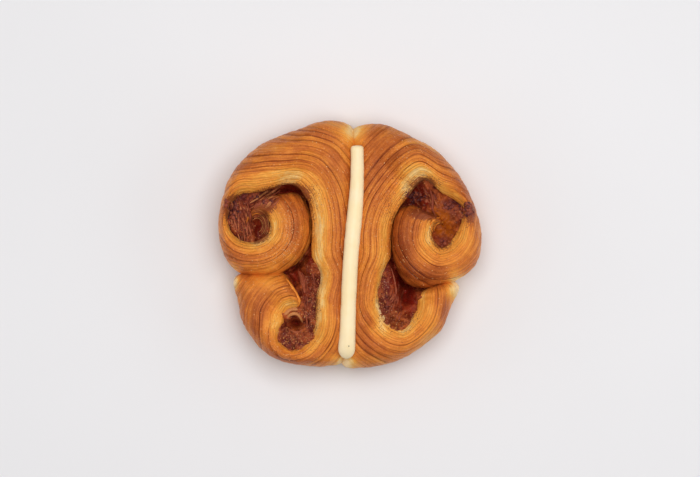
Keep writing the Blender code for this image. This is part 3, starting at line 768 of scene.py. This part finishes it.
def icing_line(name, unevenness, look):
    """The piped line: a round top over a root that narrows into the valley, carried along the line
    and closed like a blunt end at the far side and like a drop at the near side."""
    rows = np.array(ICING_LINE)
    lengths = np.r_[0.0, np.cumsum(np.hypot(*np.diff(rows[:, :2], axis=0).T))]
    along = lengths[-1] * (1 - np.cos(np.linspace(0, math.pi, ICING_STEPS))) / 2
    line = cubic_through(rows, lengths, along)
    far = 1 - np.clip(along / ICING_ENDS[0], 0, 1)
    near = 1 - np.clip((along[-1] - along) / ICING_ENDS[1], 0, 1)
    square = FAR_SQUARENESS
    blunt = (1 - ALMOST * far**square) ** (1 / square) * (1 - ALMOST * near**2) ** 0.5
    wave = unevenness * (0.6 * drift((along,), (6.0,), 3) + 0.4 * drift((along,), (2.4,), 4))
    half_width = (line[:, 2] + wave) * blunt
    angle = 2 * math.pi * (np.arange(ICING_SIDES) + 0.5) / ICING_SIDES
    out, up = np.cos(angle), np.sin(angle)
    rise = np.where(
        up > 0,
        np.abs(up) ** 0.9 * ICING_RISE * half_width[:, None],
        up * ICING_ROOT * blunt[:, None],
    )
    out = np.where(up > 0, out, out * (1 + ICING_TAPER * up))
    x, y, height = rings(line[:, [0, 1, 3]], out * half_width[:, None], rise)
    ripple = 0.10 * crumble((x, y, height), 4.0, 8) + 0.03 * drift((x, y, height), (1.1,) * 3, 9)
    height = height + ripple * (up > 0)
    points = np.stack([x, y, height], -1).reshape(-1, 3)
    return piece(name, points, outwards(points, tube(*x.shape)), look)


# Torn sheets and crumbs.


def strand_points(line, half_width, half_height, seed):
    """The rings of one strand: an oval carried along a smooth line through its points, thinning to
    both ends and a little uneven."""
    line = np.array(line, float)
    lengths = np.r_[0.0, np.cumsum(np.hypot(*np.diff(line[:, :2], axis=0).T) + 1e-3)]
    share = (1 - np.cos(np.linspace(0, math.pi, STRAND_STEPS))) / 2
    at = cubic_through(line, lengths, share * lengths[-1])
    uneven = 1 + 0.35 * drift((share * lengths[-1], np.zeros(STRAND_STEPS)), (1.7, 1.0), seed)
    thin = np.sqrt(np.clip(4 * share * (1 - share), 0.004, 1)) * uneven
    angle = 2 * math.pi * np.arange(STRAND_SIDES) / STRAND_SIDES
    out = np.cos(angle) * (half_width * thin)[:, None]
    up = np.sin(angle) * (half_height * thin)[:, None]
    return np.stack(rings(at, out, up), -1).reshape(-1, 3)


def strands(name, lines, look):
    """One piece of many strands, each (points, half width, half height, tone)."""
    made = [strand_points(line, wide, high, n) for n, (line, wide, high, _) in enumerate(lines)]
    one = outwards(made[0], tube(STRAND_STEPS, STRAND_SIDES))
    size = STRAND_STEPS * STRAND_SIDES
    shift = (np.arange(len(lines)) * size)[:, None, None]
    faces = [(part[None] + shift).reshape(-1, part.shape[1]) for part in one]
    tone = np.repeat([line[3] for line in lines], size)
    return piece(name, np.concatenate(made), faces, look, {"tone": tone, "crust": tone})


def height_under(x, y, pieces):
    """The height of the highest of these pieces below a point, in millimetres."""
    found = [0.0]
    for obj in pieces:
        hit, place, _, _ = obj.ray_cast((x * MM, y * MM, 0.1), (0, 0, -1))
        if hit:
            found.append(place.z / MM)
    return max(found)


def laid(line, pieces, above):
    """A line in plan laid on top of the pieces."""
    return [(x, y, height_under(x, y, pieces) + above) for x, y in line]


def core_arc(radius, number):
    """Points in plan along one torn turn at the core of the upper left scroll: an arc a little
    higher than wide, each turn shorter than the one within it."""
    angles = np.radians(np.linspace(-75 + 8 * number, 140 - 12 * number, 8))
    ring = np.c_[np.cos(angles), 1.3 * np.sin(angles)]
    return [tuple(p) for p in np.array(CORE_UPPER_LEFT) + radius * ring]


def fibres(area, way, count, length, seed):
    """Short lines in plan scattered over an oval area (x, y, reach x, reach y), most of them
    running this way in degrees, each bowed a little."""
    number, found = np.arange(count), []
    draws = [chance([number, np.full(count, k)], seed) for k in range(5)]
    for turn, far, aim, bow, long in zip(*draws):
        turn, far, long = 2 * math.pi * turn, math.sqrt(far), length * (0.5 + long)
        aim, bow = math.radians(way + 24 * (aim - 0.5)), 0.6 * (bow - 0.5)
        x, y = area[0] + area[2] * far * math.cos(turn), area[1] + area[3] * far * math.sin(turn)
        found.append([
            (x + long * t * math.cos(aim + bow * t), y + long * t * math.sin(aim + bow * t))
            for t in (-0.5, -0.17, 0.17, 0.5)
        ])
    return found


def crumb_shape():
    """The twelve corners and twenty faces of an icosahedron."""
    golden = (1 + math.sqrt(5)) / 2
    flat = [(s * 1.0, t * golden) for s, t in itertools.product((-1, 1), repeat=2)]
    corners = [(a, b, 0.0) for a, b in flat] + [(0.0, a, b) for a, b in flat]
    corners = np.array(corners + [(b, 0.0, a) for a, b in flat])
    near = np.linalg.norm(corners[:, None] - corners[None], axis=2) < 2.1
    faces = [
        (a, b, c) if np.dot(corners[a], np.cross(corners[b], corners[c])) > 0 else (a, c, b)
        for a, b, c in itertools.combinations(range(12), 3)
        if near[a, b] and near[a, c] and near[b, c]
    ]
    return corners / math.hypot(1, golden), np.array(faces)


def crumbs(name, places, sizes, tones, seed, look):
    """One piece of many crumbs, each an uneven twenty-faced lump of this size at its place."""
    rng = np.random.default_rng(seed)
    shape, faces = crumb_shape()
    count = len(places)
    grown = shape[None] * rng.uniform(0.7, 1.25, (count, 12, 1))
    squat = np.c_[rng.uniform(0.8, 1.3, (count, 2)), rng.uniform(0.6, 0.9, count)]
    points = places[:, None] + grown * squat[:, None] * sizes[:, None, None]
    every = faces[None] + 12 * np.arange(count)[:, None, None]
    fields = {"tone": np.repeat(tones, 12)}
    return piece(name, points.reshape(-1, 3), [every.reshape(-1, 3)], look, fields)


def sown(pieces, wanted, count, seed, above):
    """Places on top of these pieces, this far above their surface, picked by chance where
    wanted(x, y) is high. Returns the places and the generator, to draw more from."""
    points = np.concatenate([read(obj.data.vertices, "co", 3) / MM for obj in pieces])
    normals = np.concatenate([read(obj.data.vertex_normals, "vector", 3) for obj in pieces])
    weight = np.clip(wanted(points[:, 0], points[:, 1]), 0, None)
    slope = np.clip(normals[:, 2] - SOWN_SLOPE, 0, None)
    weight = weight * slope * (points[:, 2] > SOWN_ABOVE)
    rng = np.random.default_rng(seed)
    picked = rng.choice(len(points), count, replace=False, p=weight / weight.sum())
    stray = rng.normal(0, STRAY, (count, 3))
    stray -= (stray * normals[picked]).sum(1)[:, None] * normals[picked]
    return points[picked] + above * normals[picked] + stray, rng


# Materials. Each short function here adds nodes to a tree and returns the socket to read.


def put(tree, kind, inputs=None, **settings):
    """Adds a node, with its settings, and links or sets each input that is named or numbered."""
    made = tree.nodes.new("ShaderNode" + kind)
    for name, value in settings.items():
        setattr(made, name, value)
    for key, value in (inputs or {}).items():
        if isinstance(value, bpy.types.NodeSocket):
            tree.links.new(value, made.inputs[key])
        else:
            made.inputs[key].default_value = value
    return made


def work(tree, operation, a, b, **settings):
    return put(tree, "Math", {0: a, 1: b}, operation=operation, **settings).outputs[0]


def add(tree, a, b):
    return work(tree, "ADD", a, b)


def times(tree, a, b, **settings):
    return work(tree, "MULTIPLY", a, b, **settings)


def about_zero(tree, value, weight):
    """A value from 0 to 1 made to swing by half this weight to both sides of zero."""
    return times(tree, work(tree, "SUBTRACT", value, 0.5), weight)


def blend(tree, share, a, b, way="MIX"):
    return put(tree, "Mix", {0: share, 6: a, 7: b}, data_type="RGBA", blend_type=way).outputs[2]


def tint(tree, share, strength, colour, tone):
    """The colour with this tone laid over it by share times strength."""
    return blend(tree, times(tree, share, strength), colour, (*tone, 1.0))


def stretch(tree, value, low, high, to_low=0.0, to_high=1.0):
    inputs = {0: value, 1: low, 2: high, 3: to_low, 4: to_high}
    return put(tree, "MapRange", inputs, interpolation_type="SMOOTHSTEP").outputs[0]


def field(tree, name):
    return put(tree, "Attribute", attribute_name=name).outputs["Fac"]


def scale_of(tree, colours, share):
    """A colour ramp through (place, colour) pairs."""
    made = put(tree, "ValToRGB", {0: share})
    stops = made.color_ramp.elements
    while len(stops) < len(colours):
        stops.new(0.5)
    for stop, (place, colour) in zip(stops, colours):
        stop.position = place
        stop.color = (*colour, 1.0)
    return made.outputs[0]


def group(name, inputs, outputs, fill):
    """A node group with a vector and these numbers as its inputs, built once: fill adds its nodes
    and gives a socket for each output."""
    if name in bpy.data.node_groups:
        return bpy.data.node_groups[name]
    tree = bpy.data.node_groups.new(name, "ShaderNodeTree")
    tree.interface.new_socket("Vector", in_out="INPUT", socket_type="NodeSocketVector")
    for label, value in inputs.items():
        socket = tree.interface.new_socket(label, in_out="INPUT", socket_type="NodeSocketFloat")
        socket.default_value = value
    for label in outputs:
        tree.interface.new_socket(label, in_out="OUTPUT", socket_type="NodeSocketFloat")
    given, result = tree.nodes.new("NodeGroupInput"), tree.nodes.new("NodeGroupOutput")
    for label, value in zip(outputs, fill(tree, given.outputs)):
        tree.links.new(value, result.inputs[label])
    return tree


def fill_grain(tree, given):
    """Uneven grain: a coarse mottle and a fine grain from 0 to 1, and their sum as a height."""
    made = []
    for label, detail in (("Coarse", 3.0), ("Fine", 2.0)):
        inputs = {"Vector": given["Vector"], "Detail": detail, "Roughness": 0.55}
        inputs["Scale"] = work(tree, "DIVIDE", 1000.0, given[label])
        made.append(stretch(tree, put(tree, "TexNoise", inputs).outputs[0], 0.28, 0.72))
    return *made, add(tree, times(tree, made[0], 0.4), times(tree, made[1], 0.6))


def fill_specks(tree, given):
    """Separate specks: 1 inside a speck and 0 between, on cells of this size. Reach is how large a
    speck is and Share is how many cells have one."""
    pace = work(tree, "DIVIDE", 1000.0, given["Cell"])
    cells = put(tree, "TexVoronoi", {"Vector": given["Vector"], "Scale": pace})
    pick = put(tree, "SeparateColor", {0: cells.outputs["Color"]})
    chosen = work(tree, "LESS_THAN", pick.outputs[0], given["Share"])
    size = times(tree, given["Reach"], add(tree, pick.outputs[1], 0.5))
    inside = stretch(tree, work(tree, "DIVIDE", cells.outputs["Distance"], size), 1.0, 0.7)
    return (times(tree, inside, chosen),)


def grain_of(tree, place, coarse, fine):
    outputs = ("Mottle", "Grain", "Height")
    made = group("baked grain", {"Coarse": 3.0, "Fine": 0.4}, outputs, fill_grain)
    inputs = {"Vector": place, "Coarse": coarse, "Fine": fine}
    return put(tree, "Group", inputs, node_tree=made).outputs


def specks(tree, place, cell, reach, share):
    made = group("specks", {"Cell": 1.5, "Reach": 0.3, "Share": 0.3}, ("Mask",), fill_specks)
    inputs = {"Vector": place, "Cell": cell, "Reach": reach, "Share": share}
    return put(tree, "Group", inputs, node_tree=made).outputs[0]


def new_material(name):
    """A material with its tree, its Principled BSDF and the object's own coordinates."""
    if name in bpy.data.materials:
        bpy.data.materials.remove(bpy.data.materials[name])
    made = bpy.data.materials.new(name)
    made.use_nodes = True
    tree = made.node_tree
    shader = tree.nodes["Principled BSDF"]
    shader.inputs["Specular IOR Level"].default_value = SHEEN
    return made, tree, shader, put(tree, "TexCoord").outputs["Object"]


def finish_with(tree, shader, colour, rough, height, depth, strength=0.7):
    """Feeds the shader its colour, its roughness, which is the first number of rough times the
    socket plus the second, and a bump whose height is worth this many metres."""
    socket, much, least = rough
    tree.links.new(colour, shader.inputs["Base Color"])
    tree.links.new(add(tree, times(tree, socket, much), least), shader.inputs["Roughness"])
    bump = put(tree, "Bump", {"Height": height, "Distance": depth, "Strength": strength})
    tree.links.new(bump.outputs[0], shader.inputs["Normal"])


def dough_material(colours):
    """Baked dough: browning along a scale from pale to dark, darker grooves between the sheets that
    are painted shade with some browning, fine lines along the band, cinnamon stains and specks near
    the filling, with painted shade along the crevices beside the strips."""
    made, tree, shader, place = new_material("layered dough")
    flat = put(tree, "UVMap", uv_map="layers").outputs[0]
    lines = put(tree, "Mapping", {"Vector": flat, "Scale": (14.0, 260.0, 1.0)}).outputs[0]
    thin = put(tree, "TexNoise", {"Vector": lines, "Scale": 1.0, "Detail": 3.0}).outputs[0]
    thin = stretch(tree, thin, 0.3, 0.7)
    grain = grain_of(tree, place, 4.5, 0.7)
    crust = field(tree, "crust")
    for value, weight in ((thin, 0.14), (grain["Mottle"], 0.12), (grain["Grain"], 0.10)):
        crust = add(tree, crust, about_zero(tree, value, weight))
    share = times(tree, add(tree, crust, 0.25), 0.8)
    colour = scale_of(tree, tuple(zip(BROWNING, colours)), share)
    # Painted shade in the grooves between the sheets, with some browning there too.
    groove = times(tree, field(tree, "groove"), 0.95, use_clamp=True)
    colour = blend(tree, groove, colour, (*GROOVE_SHADE_TONE, 1.0), "MULTIPLY")
    patchy = add(tree, times(tree, grain["Grain"], 0.55), times(tree, thin, 0.45))
    # The stain field holds cinnamon stains and, beside the strips, painted shade along the
    # crevices.
    near = add(tree, times(tree, field(tree, "edge"), 0.16), field(tree, "stain"))
    smear_and_shade = stretch(tree, work(tree, "SUBTRACT", near, times(tree, patchy, 0.8)), 0.0, 0.35)
    colour = tint(tree, smear_and_shade, 0.85, colour, STAIN_AND_SHADE_TONE)
    dots = specks(tree, place, 1.1, 0.30, 0.35)
    dotted = times(tree, dots, stretch(tree, near, 0.08, 0.5))
    colour = tint(tree, dotted, 0.7, colour, DOT_TONE)
    colour = tint(tree, specks(tree, place, 1.5, 0.17, 0.28), 0.45, colour, SUGAR_TONE)
    height = add(tree, grain["Height"], times(tree, thin, 0.9))
    finish_with(tree, shader, colour, (grain["Grain"], 0.18, 0.36), height, 0.00022)
    return made


def filling_material(dark, brown, syrup):
    """Cinnamon filling: dark and coarse, lighter on its lumps, grains and fibres, purple in places,
    deep red with painted shade in its hollows and crevices, and glossy amber where syrup has run."""
    made, tree, shader, place = new_material("cinnamon filling")
    grain = grain_of(tree, place, 1.9, 0.45)
    lump = stretch(tree, field(tree, "lump"), -0.7, 0.9)
    tone = add(tree, times(tree, lump, 0.5), times(tree, grain["Mottle"], 0.5))
    colour = scale_of(tree, ((0.22, dark), (0.80, brown)), tone)
    running = stretch(tree, grain["Mottle"], 0.0, 0.8, 0.45, 1.0)
    colour = tint(tree, field(tree, "syrup"), running, colour, syrup)
    colour = tint(tree, stretch(tree, field(tree, "fibre"), 0.15, 0.7), 0.6, colour, FIBRE_TONE)
    low_down = stretch(tree, lump, 0.0, 0.9, 1.0, 0.45)
    colour = tint(tree, field(tree, "plum"), low_down, colour, PLUM_TONE)
    # Painted shade: a deep red laid over the filling in its hollows and crevices, stronger where
    # the filling is darker.
    shaded = stretch(tree, tone, 0.3, 0.8, 1.0, 0.7)
    colour = tint(tree, field(tree, "dark"), shaded, colour, DEEP_AND_SHADE_TONE)
    grains = specks(tree, place, 0.8, 0.32, 0.45)
    many = add(tree, times(tree, field(tree, "grainy"), 0.75), 0.18)
    colour = tint(tree, grains, many, colour, GRAIN_TONE)
    height = add(tree, grain["Height"], times(tree, grains, 0.5))
    finish_with(tree, shader, colour, (grain["Grain"], 0.25, 0.30), height, 0.00035)
    return made


def scrap_material(name, dark, middle, light, shine):
    """Crumbs, grains and torn sheets: each has its own tone from dark to light."""
    made, tree, shader, place = new_material(name)
    grain = grain_of(tree, place, 1.6, 0.3)
    tone = add(tree, field(tree, "tone"), about_zero(tree, grain["Grain"], 0.3))
    colour = scale_of(tree, ((0.0, dark), (0.5, middle), (1.0, light)), tone)
    finish_with(tree, shader, colour, (grain["Grain"], 0.2, shine - 0.1), grain["Height"], 0.00012)
    return made


def icing_material(cream):
    """Set icing: cream with a faint mottle, satin, with a few tiny pores."""
    made, tree, shader, place = new_material("cream icing")
    grain = grain_of(tree, place, 9.0, 1.2)
    warmer = tuple(c * f for c, f in zip(cream, WARMER))
    colour = blend(tree, grain["Mottle"], (*cream, 1.0), (*warmer, 1.0))
    colour = tint(tree, specks(tree, place, 4.0, 0.10, 0.12), 0.5, colour, PORE_TONE)
    rough = (grain["Grain"], 0.12, 0.32)
    finish_with(tree, shader, colour, rough, grain["Height"], 0.00008, 0.5)
    return made


def floor_material(colour):
    """A pale floor with a broad, faint mottle."""
    made, tree, shader, place = new_material("pale floor")
    shader.inputs["Roughness"].default_value = 0.75
    shade = tuple(c * FLOOR_SHADE for c in colour)
    mottle = grain_of(tree, place, 160.0, 2.0)["Mottle"]
    tone = blend(tree, mottle, (*colour, 1.0), (*shade, 1.0))
    tree.links.new(tone, shader.inputs["Base Color"])
    return made


# What a user may change.


def colour_property(name, description, default):
    return FloatVectorProperty(
        name=name, description=description, default=default, min=0, max=1, subtype="COLOR", size=3
    )


def length_property(name, description, default):
    return FloatProperty(
        name=name, description=description, default=default, min=0, subtype="DISTANCE",
        unit="LENGTH", precision=5,
    )


def amount_property(name, description, default):
    return FloatProperty(name=name, description=description, default=default, min=0)


def count_property(name, description, default):
    return IntProperty(name=name, description=description, default=default, min=1)


class PalmierDough(bpy.types.PropertyGroup):
    sheet: length_property("Sheet thickness", "Mean thickness of one sheet of dough", 0.00105)
    groove: length_property("Groove depth", "Depth of an open groove between two sheets", 0.00045)
    blister: length_property("Blister height", "How far the crust swells and sinks", 0.0006)
    unbaked: colour_property("Unbaked", "Dough that the heat hardly reached", (1.0, 0.72, 0.38))
    pale: colour_property("Pale", "Barely baked dough", (0.90, 0.57, 0.19))
    golden: colour_property("Golden", "Lightly baked dough", (0.88, 0.39, 0.062))
    amber: colour_property("Amber", "Baked dough", (0.78, 0.255, 0.034))
    brown: colour_property("Brown", "Well baked crust", (0.55, 0.140, 0.022))
    dark: colour_property("Dark", "The darkest crust", (0.28, 0.050, 0.008))


class PalmierFilling(bpy.types.PropertyGroup):
    lumps: length_property("Lump height", "Height of the filling's lumps", 0.0013)
    dark: colour_property("Dark", "The filling in its hollows", (0.10, 0.010, 0.004))
    brown: colour_property("Brown", "The filling on its lumps", (0.42, 0.092, 0.024))
    syrup: colour_property("Syrup", "Syrup that has run out of the filling", (0.40, 0.088, 0.003))


class PalmierScraps(bpy.types.PropertyGroup):
    sugar: count_property("Sugar grains", "Number of sugar grains", 900)
    crumbs: count_property("Crumbs", "Number of cinnamon crumbs", 1500)
    lumps: count_property("Lumps", "Number of larger lumps of filling", 520)
    grains: count_property("Grains", "Number of grains on the filling", 2600)
    damson: colour_property("Damson", "The darkest lumps", (0.045, 0.010, 0.018))
    maroon: colour_property("Maroon", "The darkest crumbs", (0.10, 0.012, 0.006))
    plum: colour_property("Plum", "Most crumbs", (0.33, 0.072, 0.032))
    tan: colour_property("Tan", "Torn sheets and the lightest crumbs", (0.62, 0.27, 0.085))
    sugar_colour: colour_property("Sugar", "Browned sugar", (0.82, 0.42, 0.17))


class PalmierIcing(bpy.types.PropertyGroup):
    unevenness: length_property("Unevenness", "How far the line varies in width", 0.00018)
    cream: colour_property("Cream", "Colour of the icing", (0.90, 0.74, 0.475))
    speck_shade: amount_property("Speck shade", "Brightness of the speck beside the icing's", 0.3)


class PalmierStage(bpy.types.PropertyGroup):
    floor: colour_property("Floor", "Colour of the floor", (0.787, 0.778, 0.789))
    glow: amount_property("Surrounding light", "Strength of the even light", 0.30)
    key: amount_property("Key light", "Power of the large soft lamp in watts", 5.35)


# The pieces, one operator each.


def belongs(obj, slot, *nodes):
    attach(obj, "root")
    if nodes:
        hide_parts(*nodes)


def both(name):
    """The left and the right piece of this name."""
    return [bpy.data.objects[f"{name}_{side}"] for side in ("left", "right")]


def most_in(places, bare):
    """How much is wanted at (x, y): what the patches reach above a bare level, squared."""
    return lambda x, y: np.clip(patches(x, y, places) - bare, 0, 2) ** 2


def scatter(name, slot, look, pieces, wanted, count, seed, above, sizes, small, tones):
    """Sows one piece of crumbs. Their sizes lie between two, more of them small the higher the
    power small is, and their tones evenly between two."""
    places, rng = sown(pieces, wanted, count, seed, above)
    size = sizes[0] + (sizes[1] - sizes[0]) * rng.uniform(0, 1, count) ** small
    belongs(crumbs(name, places, size, rng.uniform(*tones, count), seed, look), slot)


class PalmierMakeDough(bpy.types.Operator):
    """Makes the two bands of layered dough"""

    bl_idname = "palmier.dough"
    bl_label = "Dough"

    def execute(self, context):
        given = context.scene.palmier_dough
        names = ("unbaked", "pale", "golden", "amber", "brown", "dark")
        look = dough_material([tuple(getattr(given, name)) for name in names])
        sizes = [size / MM for size in (given.sheet, given.groove, given.blister)]
        for name, half, seed in (("dough_left", LEFT_HALF, 11), ("dough_right", RIGHT_HALF, 52)):
            belongs(dough_band(name, half, seed, *sizes, look), "baked_dough", "pastry")
        return {"FINISHED"}


class PalmierMakeFilling(bpy.types.Operator):
    """Makes the cinnamon filling in the pockets of both halves"""

    bl_idname = "palmier.filling"
    bl_label = "Filling"

    def execute(self, context):
        given = context.scene.palmier_filling
        look = filling_material(tuple(given.dark), tuple(given.brown), tuple(given.syrup))
        for side, half, shape, seed in (
            ("left", LEFT_HALF, LEFT_FILLING, 5), ("right", RIGHT_HALF, RIGHT_FILLING, 71),
        ):
            obj = filling_bed(f"cinnamon_{side}", half, shape, seed, given.lumps / MM, look)
            belongs(obj, "cinnamon_filling", f"filling_{side}")
        return {"FINISHED"}


class PalmierMakeScraps(bpy.types.Operator):
    """Makes the torn sheets, crumbs and grains that lie on the dough and the filling"""

    bl_idname = "palmier.scraps"
    bl_label = "Torn sheets and crumbs"

    def execute(self, context):
        given = context.scene.palmier_scraps
        context.view_layer.update()
        dough, filling = both("dough"), both("cinnamon")
        every = dough + filling
        colours = [tuple(c) for c in (given.maroon, given.plum, given.tan)]
        look = scrap_material("torn sheets", *colours, 0.45)
        lines = []
        for area, way, count, length, seed, lightest in FIBRE_AREAS:
            for n, line in enumerate(fibres(area, way, count, length, seed)):
                part = (n % FIBRE_TONES) / (FIBRE_TONES - 1)
                tone = DARKEST_FIBRE + (lightest - DARKEST_FIBRE) * part
                lines.append((laid(line, every, 0.0), FIBRE_SIZE, FIBRE_SIZE, tone))
        for n, radius in enumerate(CORE_RADII):
            line = laid(core_arc(radius, n), every, 0.2)
            lines.append((line, 0.30, 0.55, 0.58 if n % 2 else 0.80))
        lines += [(laid(line, every, 0.1), *rest) for line, *rest in FOLDS]
        belongs(strands("torn_sheets", lines, look), "baked_dough")
        lips = [(laid(line, every, above), *rest) for line, above, *rest in LIPS]
        belongs(strands("torn_lips", lips, bpy.data.materials["layered dough"]), "baked_dough")

        slot = "cinnamon_filling"
        look = scrap_material("cinnamon crumbs", *colours, 0.5)
        scatter("cinnamon_crumbs", slot, look, dough, most_in(SPILLED, 0.0), given.crumbs,
                31, 0.05, (0.08, 0.22), 2.2, (0.25, 0.75))
        scatter("cinnamon_grains", slot, look, filling, most_in(GRAINY + SPILLED, 0.0),
                given.grains, 37, 0.05, (0.13, 0.38), 2.2, (0.0, 1.0))
        look = scrap_material("filling lumps", tuple(given.damson), *colours[1:], 0.4)
        scatter("filling_lumps", slot, look, every, most_in(PLUM + DARKEST_PIT, 0.5), given.lumps,
                39, 0.05, (0.35, 1.15), 2.2, (0.0, 0.48))
        sweet = tuple(given.sugar_colour)
        look = scrap_material("sugar grains", tuple(c * 0.7 for c in sweet), sweet, sweet, 0.3)
        scatter("sugar_grains", None, look, dough, lambda x, y: patches(x, y, SUGARED),
                given.sugar, 43, 0.1, (0.08, 0.24), 1, (0.0, 1.0))
        return {"FINISHED"}


class PalmierMakeIcing(bpy.types.Operator):
    """Makes the piped line of icing"""

    bl_idname = "palmier.icing"
    bl_label = "Icing"

    def execute(self, context):
        given = context.scene.palmier_icing
        cream = tuple(given.cream)
        obj = icing_line("icing_line", given.unevenness / MM, icing_material(cream))
        belongs(obj, "cream_icing", "icing")
        context.view_layer.update()
        place = np.array([(*ICING_SPECK, height_under(*ICING_SPECK, [obj]))])
        shade = tuple(c * given.speck_shade for c in cream)
        look = scrap_material("icing speck", shade, shade, shade, 0.6)
        speck = crumbs("icing_speck", place, np.array([SPECK_SIZE]), np.array([0.5]), 5, look)
        belongs(speck, None)
        return {"FINISHED"}


class PalmierMakeStage(bpy.types.Operator):
    """Makes the floor, the soft light and the camera straight above"""

    bl_idname = "palmier.stage"
    bl_label = "Stage"

    def execute(self, context):
        given = context.scene.palmier_stage
        corners = np.array([(-1, -1, 0), (1, -1, 0), (1, 1, 0), (-1, 1, 0)]) * FLOOR_HALF
        look = floor_material(tuple(given.floor))
        floor = piece("floor", corners, [np.array([[0, 1, 2, 3]])], look)
        world = bpy.data.worlds.new("even light")
        world.use_nodes = True
        sky = world.node_tree.nodes["Background"].inputs
        sky["Color"].default_value = SKY
        sky["Strength"].default_value = given.glow
        context.scene.world = world
        for name, place, size, share in LAMPS:
            discard(name)
            lamp = bpy.data.lights.new(name, "AREA")
            lamp.shape = "SQUARE"
            lamp.size = size
            lamp.energy = share * given.key
            lamp_at = bpy.data.objects.new(name, lamp)
            lamp_at.location = place
            lamp_at.rotation_euler = lamp_at.location.to_track_quat("Z", "Y").to_euler()
            lamp_at.visible_camera = False
            context.scene.collection.objects.link(lamp_at)
        discard("camera")
        camera = bpy.data.objects.new("camera", bpy.data.cameras.new("camera"))
        camera.data.sensor_width = SENSOR
        camera.data.lens = SENSOR * (VIEW_HEIGHT - VIEW_LEVEL) / VIEW_WIDTH
        camera.location = (*VIEW_AIM, VIEW_HEIGHT)
        context.scene.collection.objects.link(camera)
        context.scene.camera = camera
        context.scene.view_settings.view_transform = "Standard"
        return {"FINISHED"}


class PalmierPanel(bpy.types.Panel):
    """Lists the pieces of the palmier and their settings"""

    bl_idname = "VIEW3D_PT_palmier"
    bl_label = "Palmier"
    bl_space_type = "VIEW_3D"
    bl_region_type = "UI"
    bl_category = "Palmier"

    def draw(self, context):
        for store, (_, maker) in PARTS.items():
            box = self.layout.box()
            given = getattr(context.scene, store)
            for name in given.__annotations__:
                box.prop(given, name)
            box.operator(maker.bl_idname)


PARTS = {
    "palmier_dough": (PalmierDough, PalmierMakeDough),
    "palmier_filling": (PalmierFilling, PalmierMakeFilling),
    "palmier_scraps": (PalmierScraps, PalmierMakeScraps),
    "palmier_icing": (PalmierIcing, PalmierMakeIcing),
    "palmier_stage": (PalmierStage, PalmierMakeStage),
}
CLASSES = (*(made for pair in PARTS.values() for made in pair), PalmierPanel)


def register():
    for made in CLASSES:
        bpy.utils.register_class(made)
    for name, (given, _) in PARTS.items():
        setattr(bpy.types.Scene, name, PointerProperty(type=given))


def unregister():
    for name in PARTS:
        delattr(bpy.types.Scene, name)
    for made in reversed(CLASSES):
        bpy.utils.unregister_class(made)


def main():
    register()
    bpy.ops.palmier.dough()
    bpy.ops.palmier.filling()
    bpy.ops.palmier.scraps()
    bpy.ops.palmier.icing()
    bpy.ops.palmier.stage()


if __name__ == "__main__":
    main()
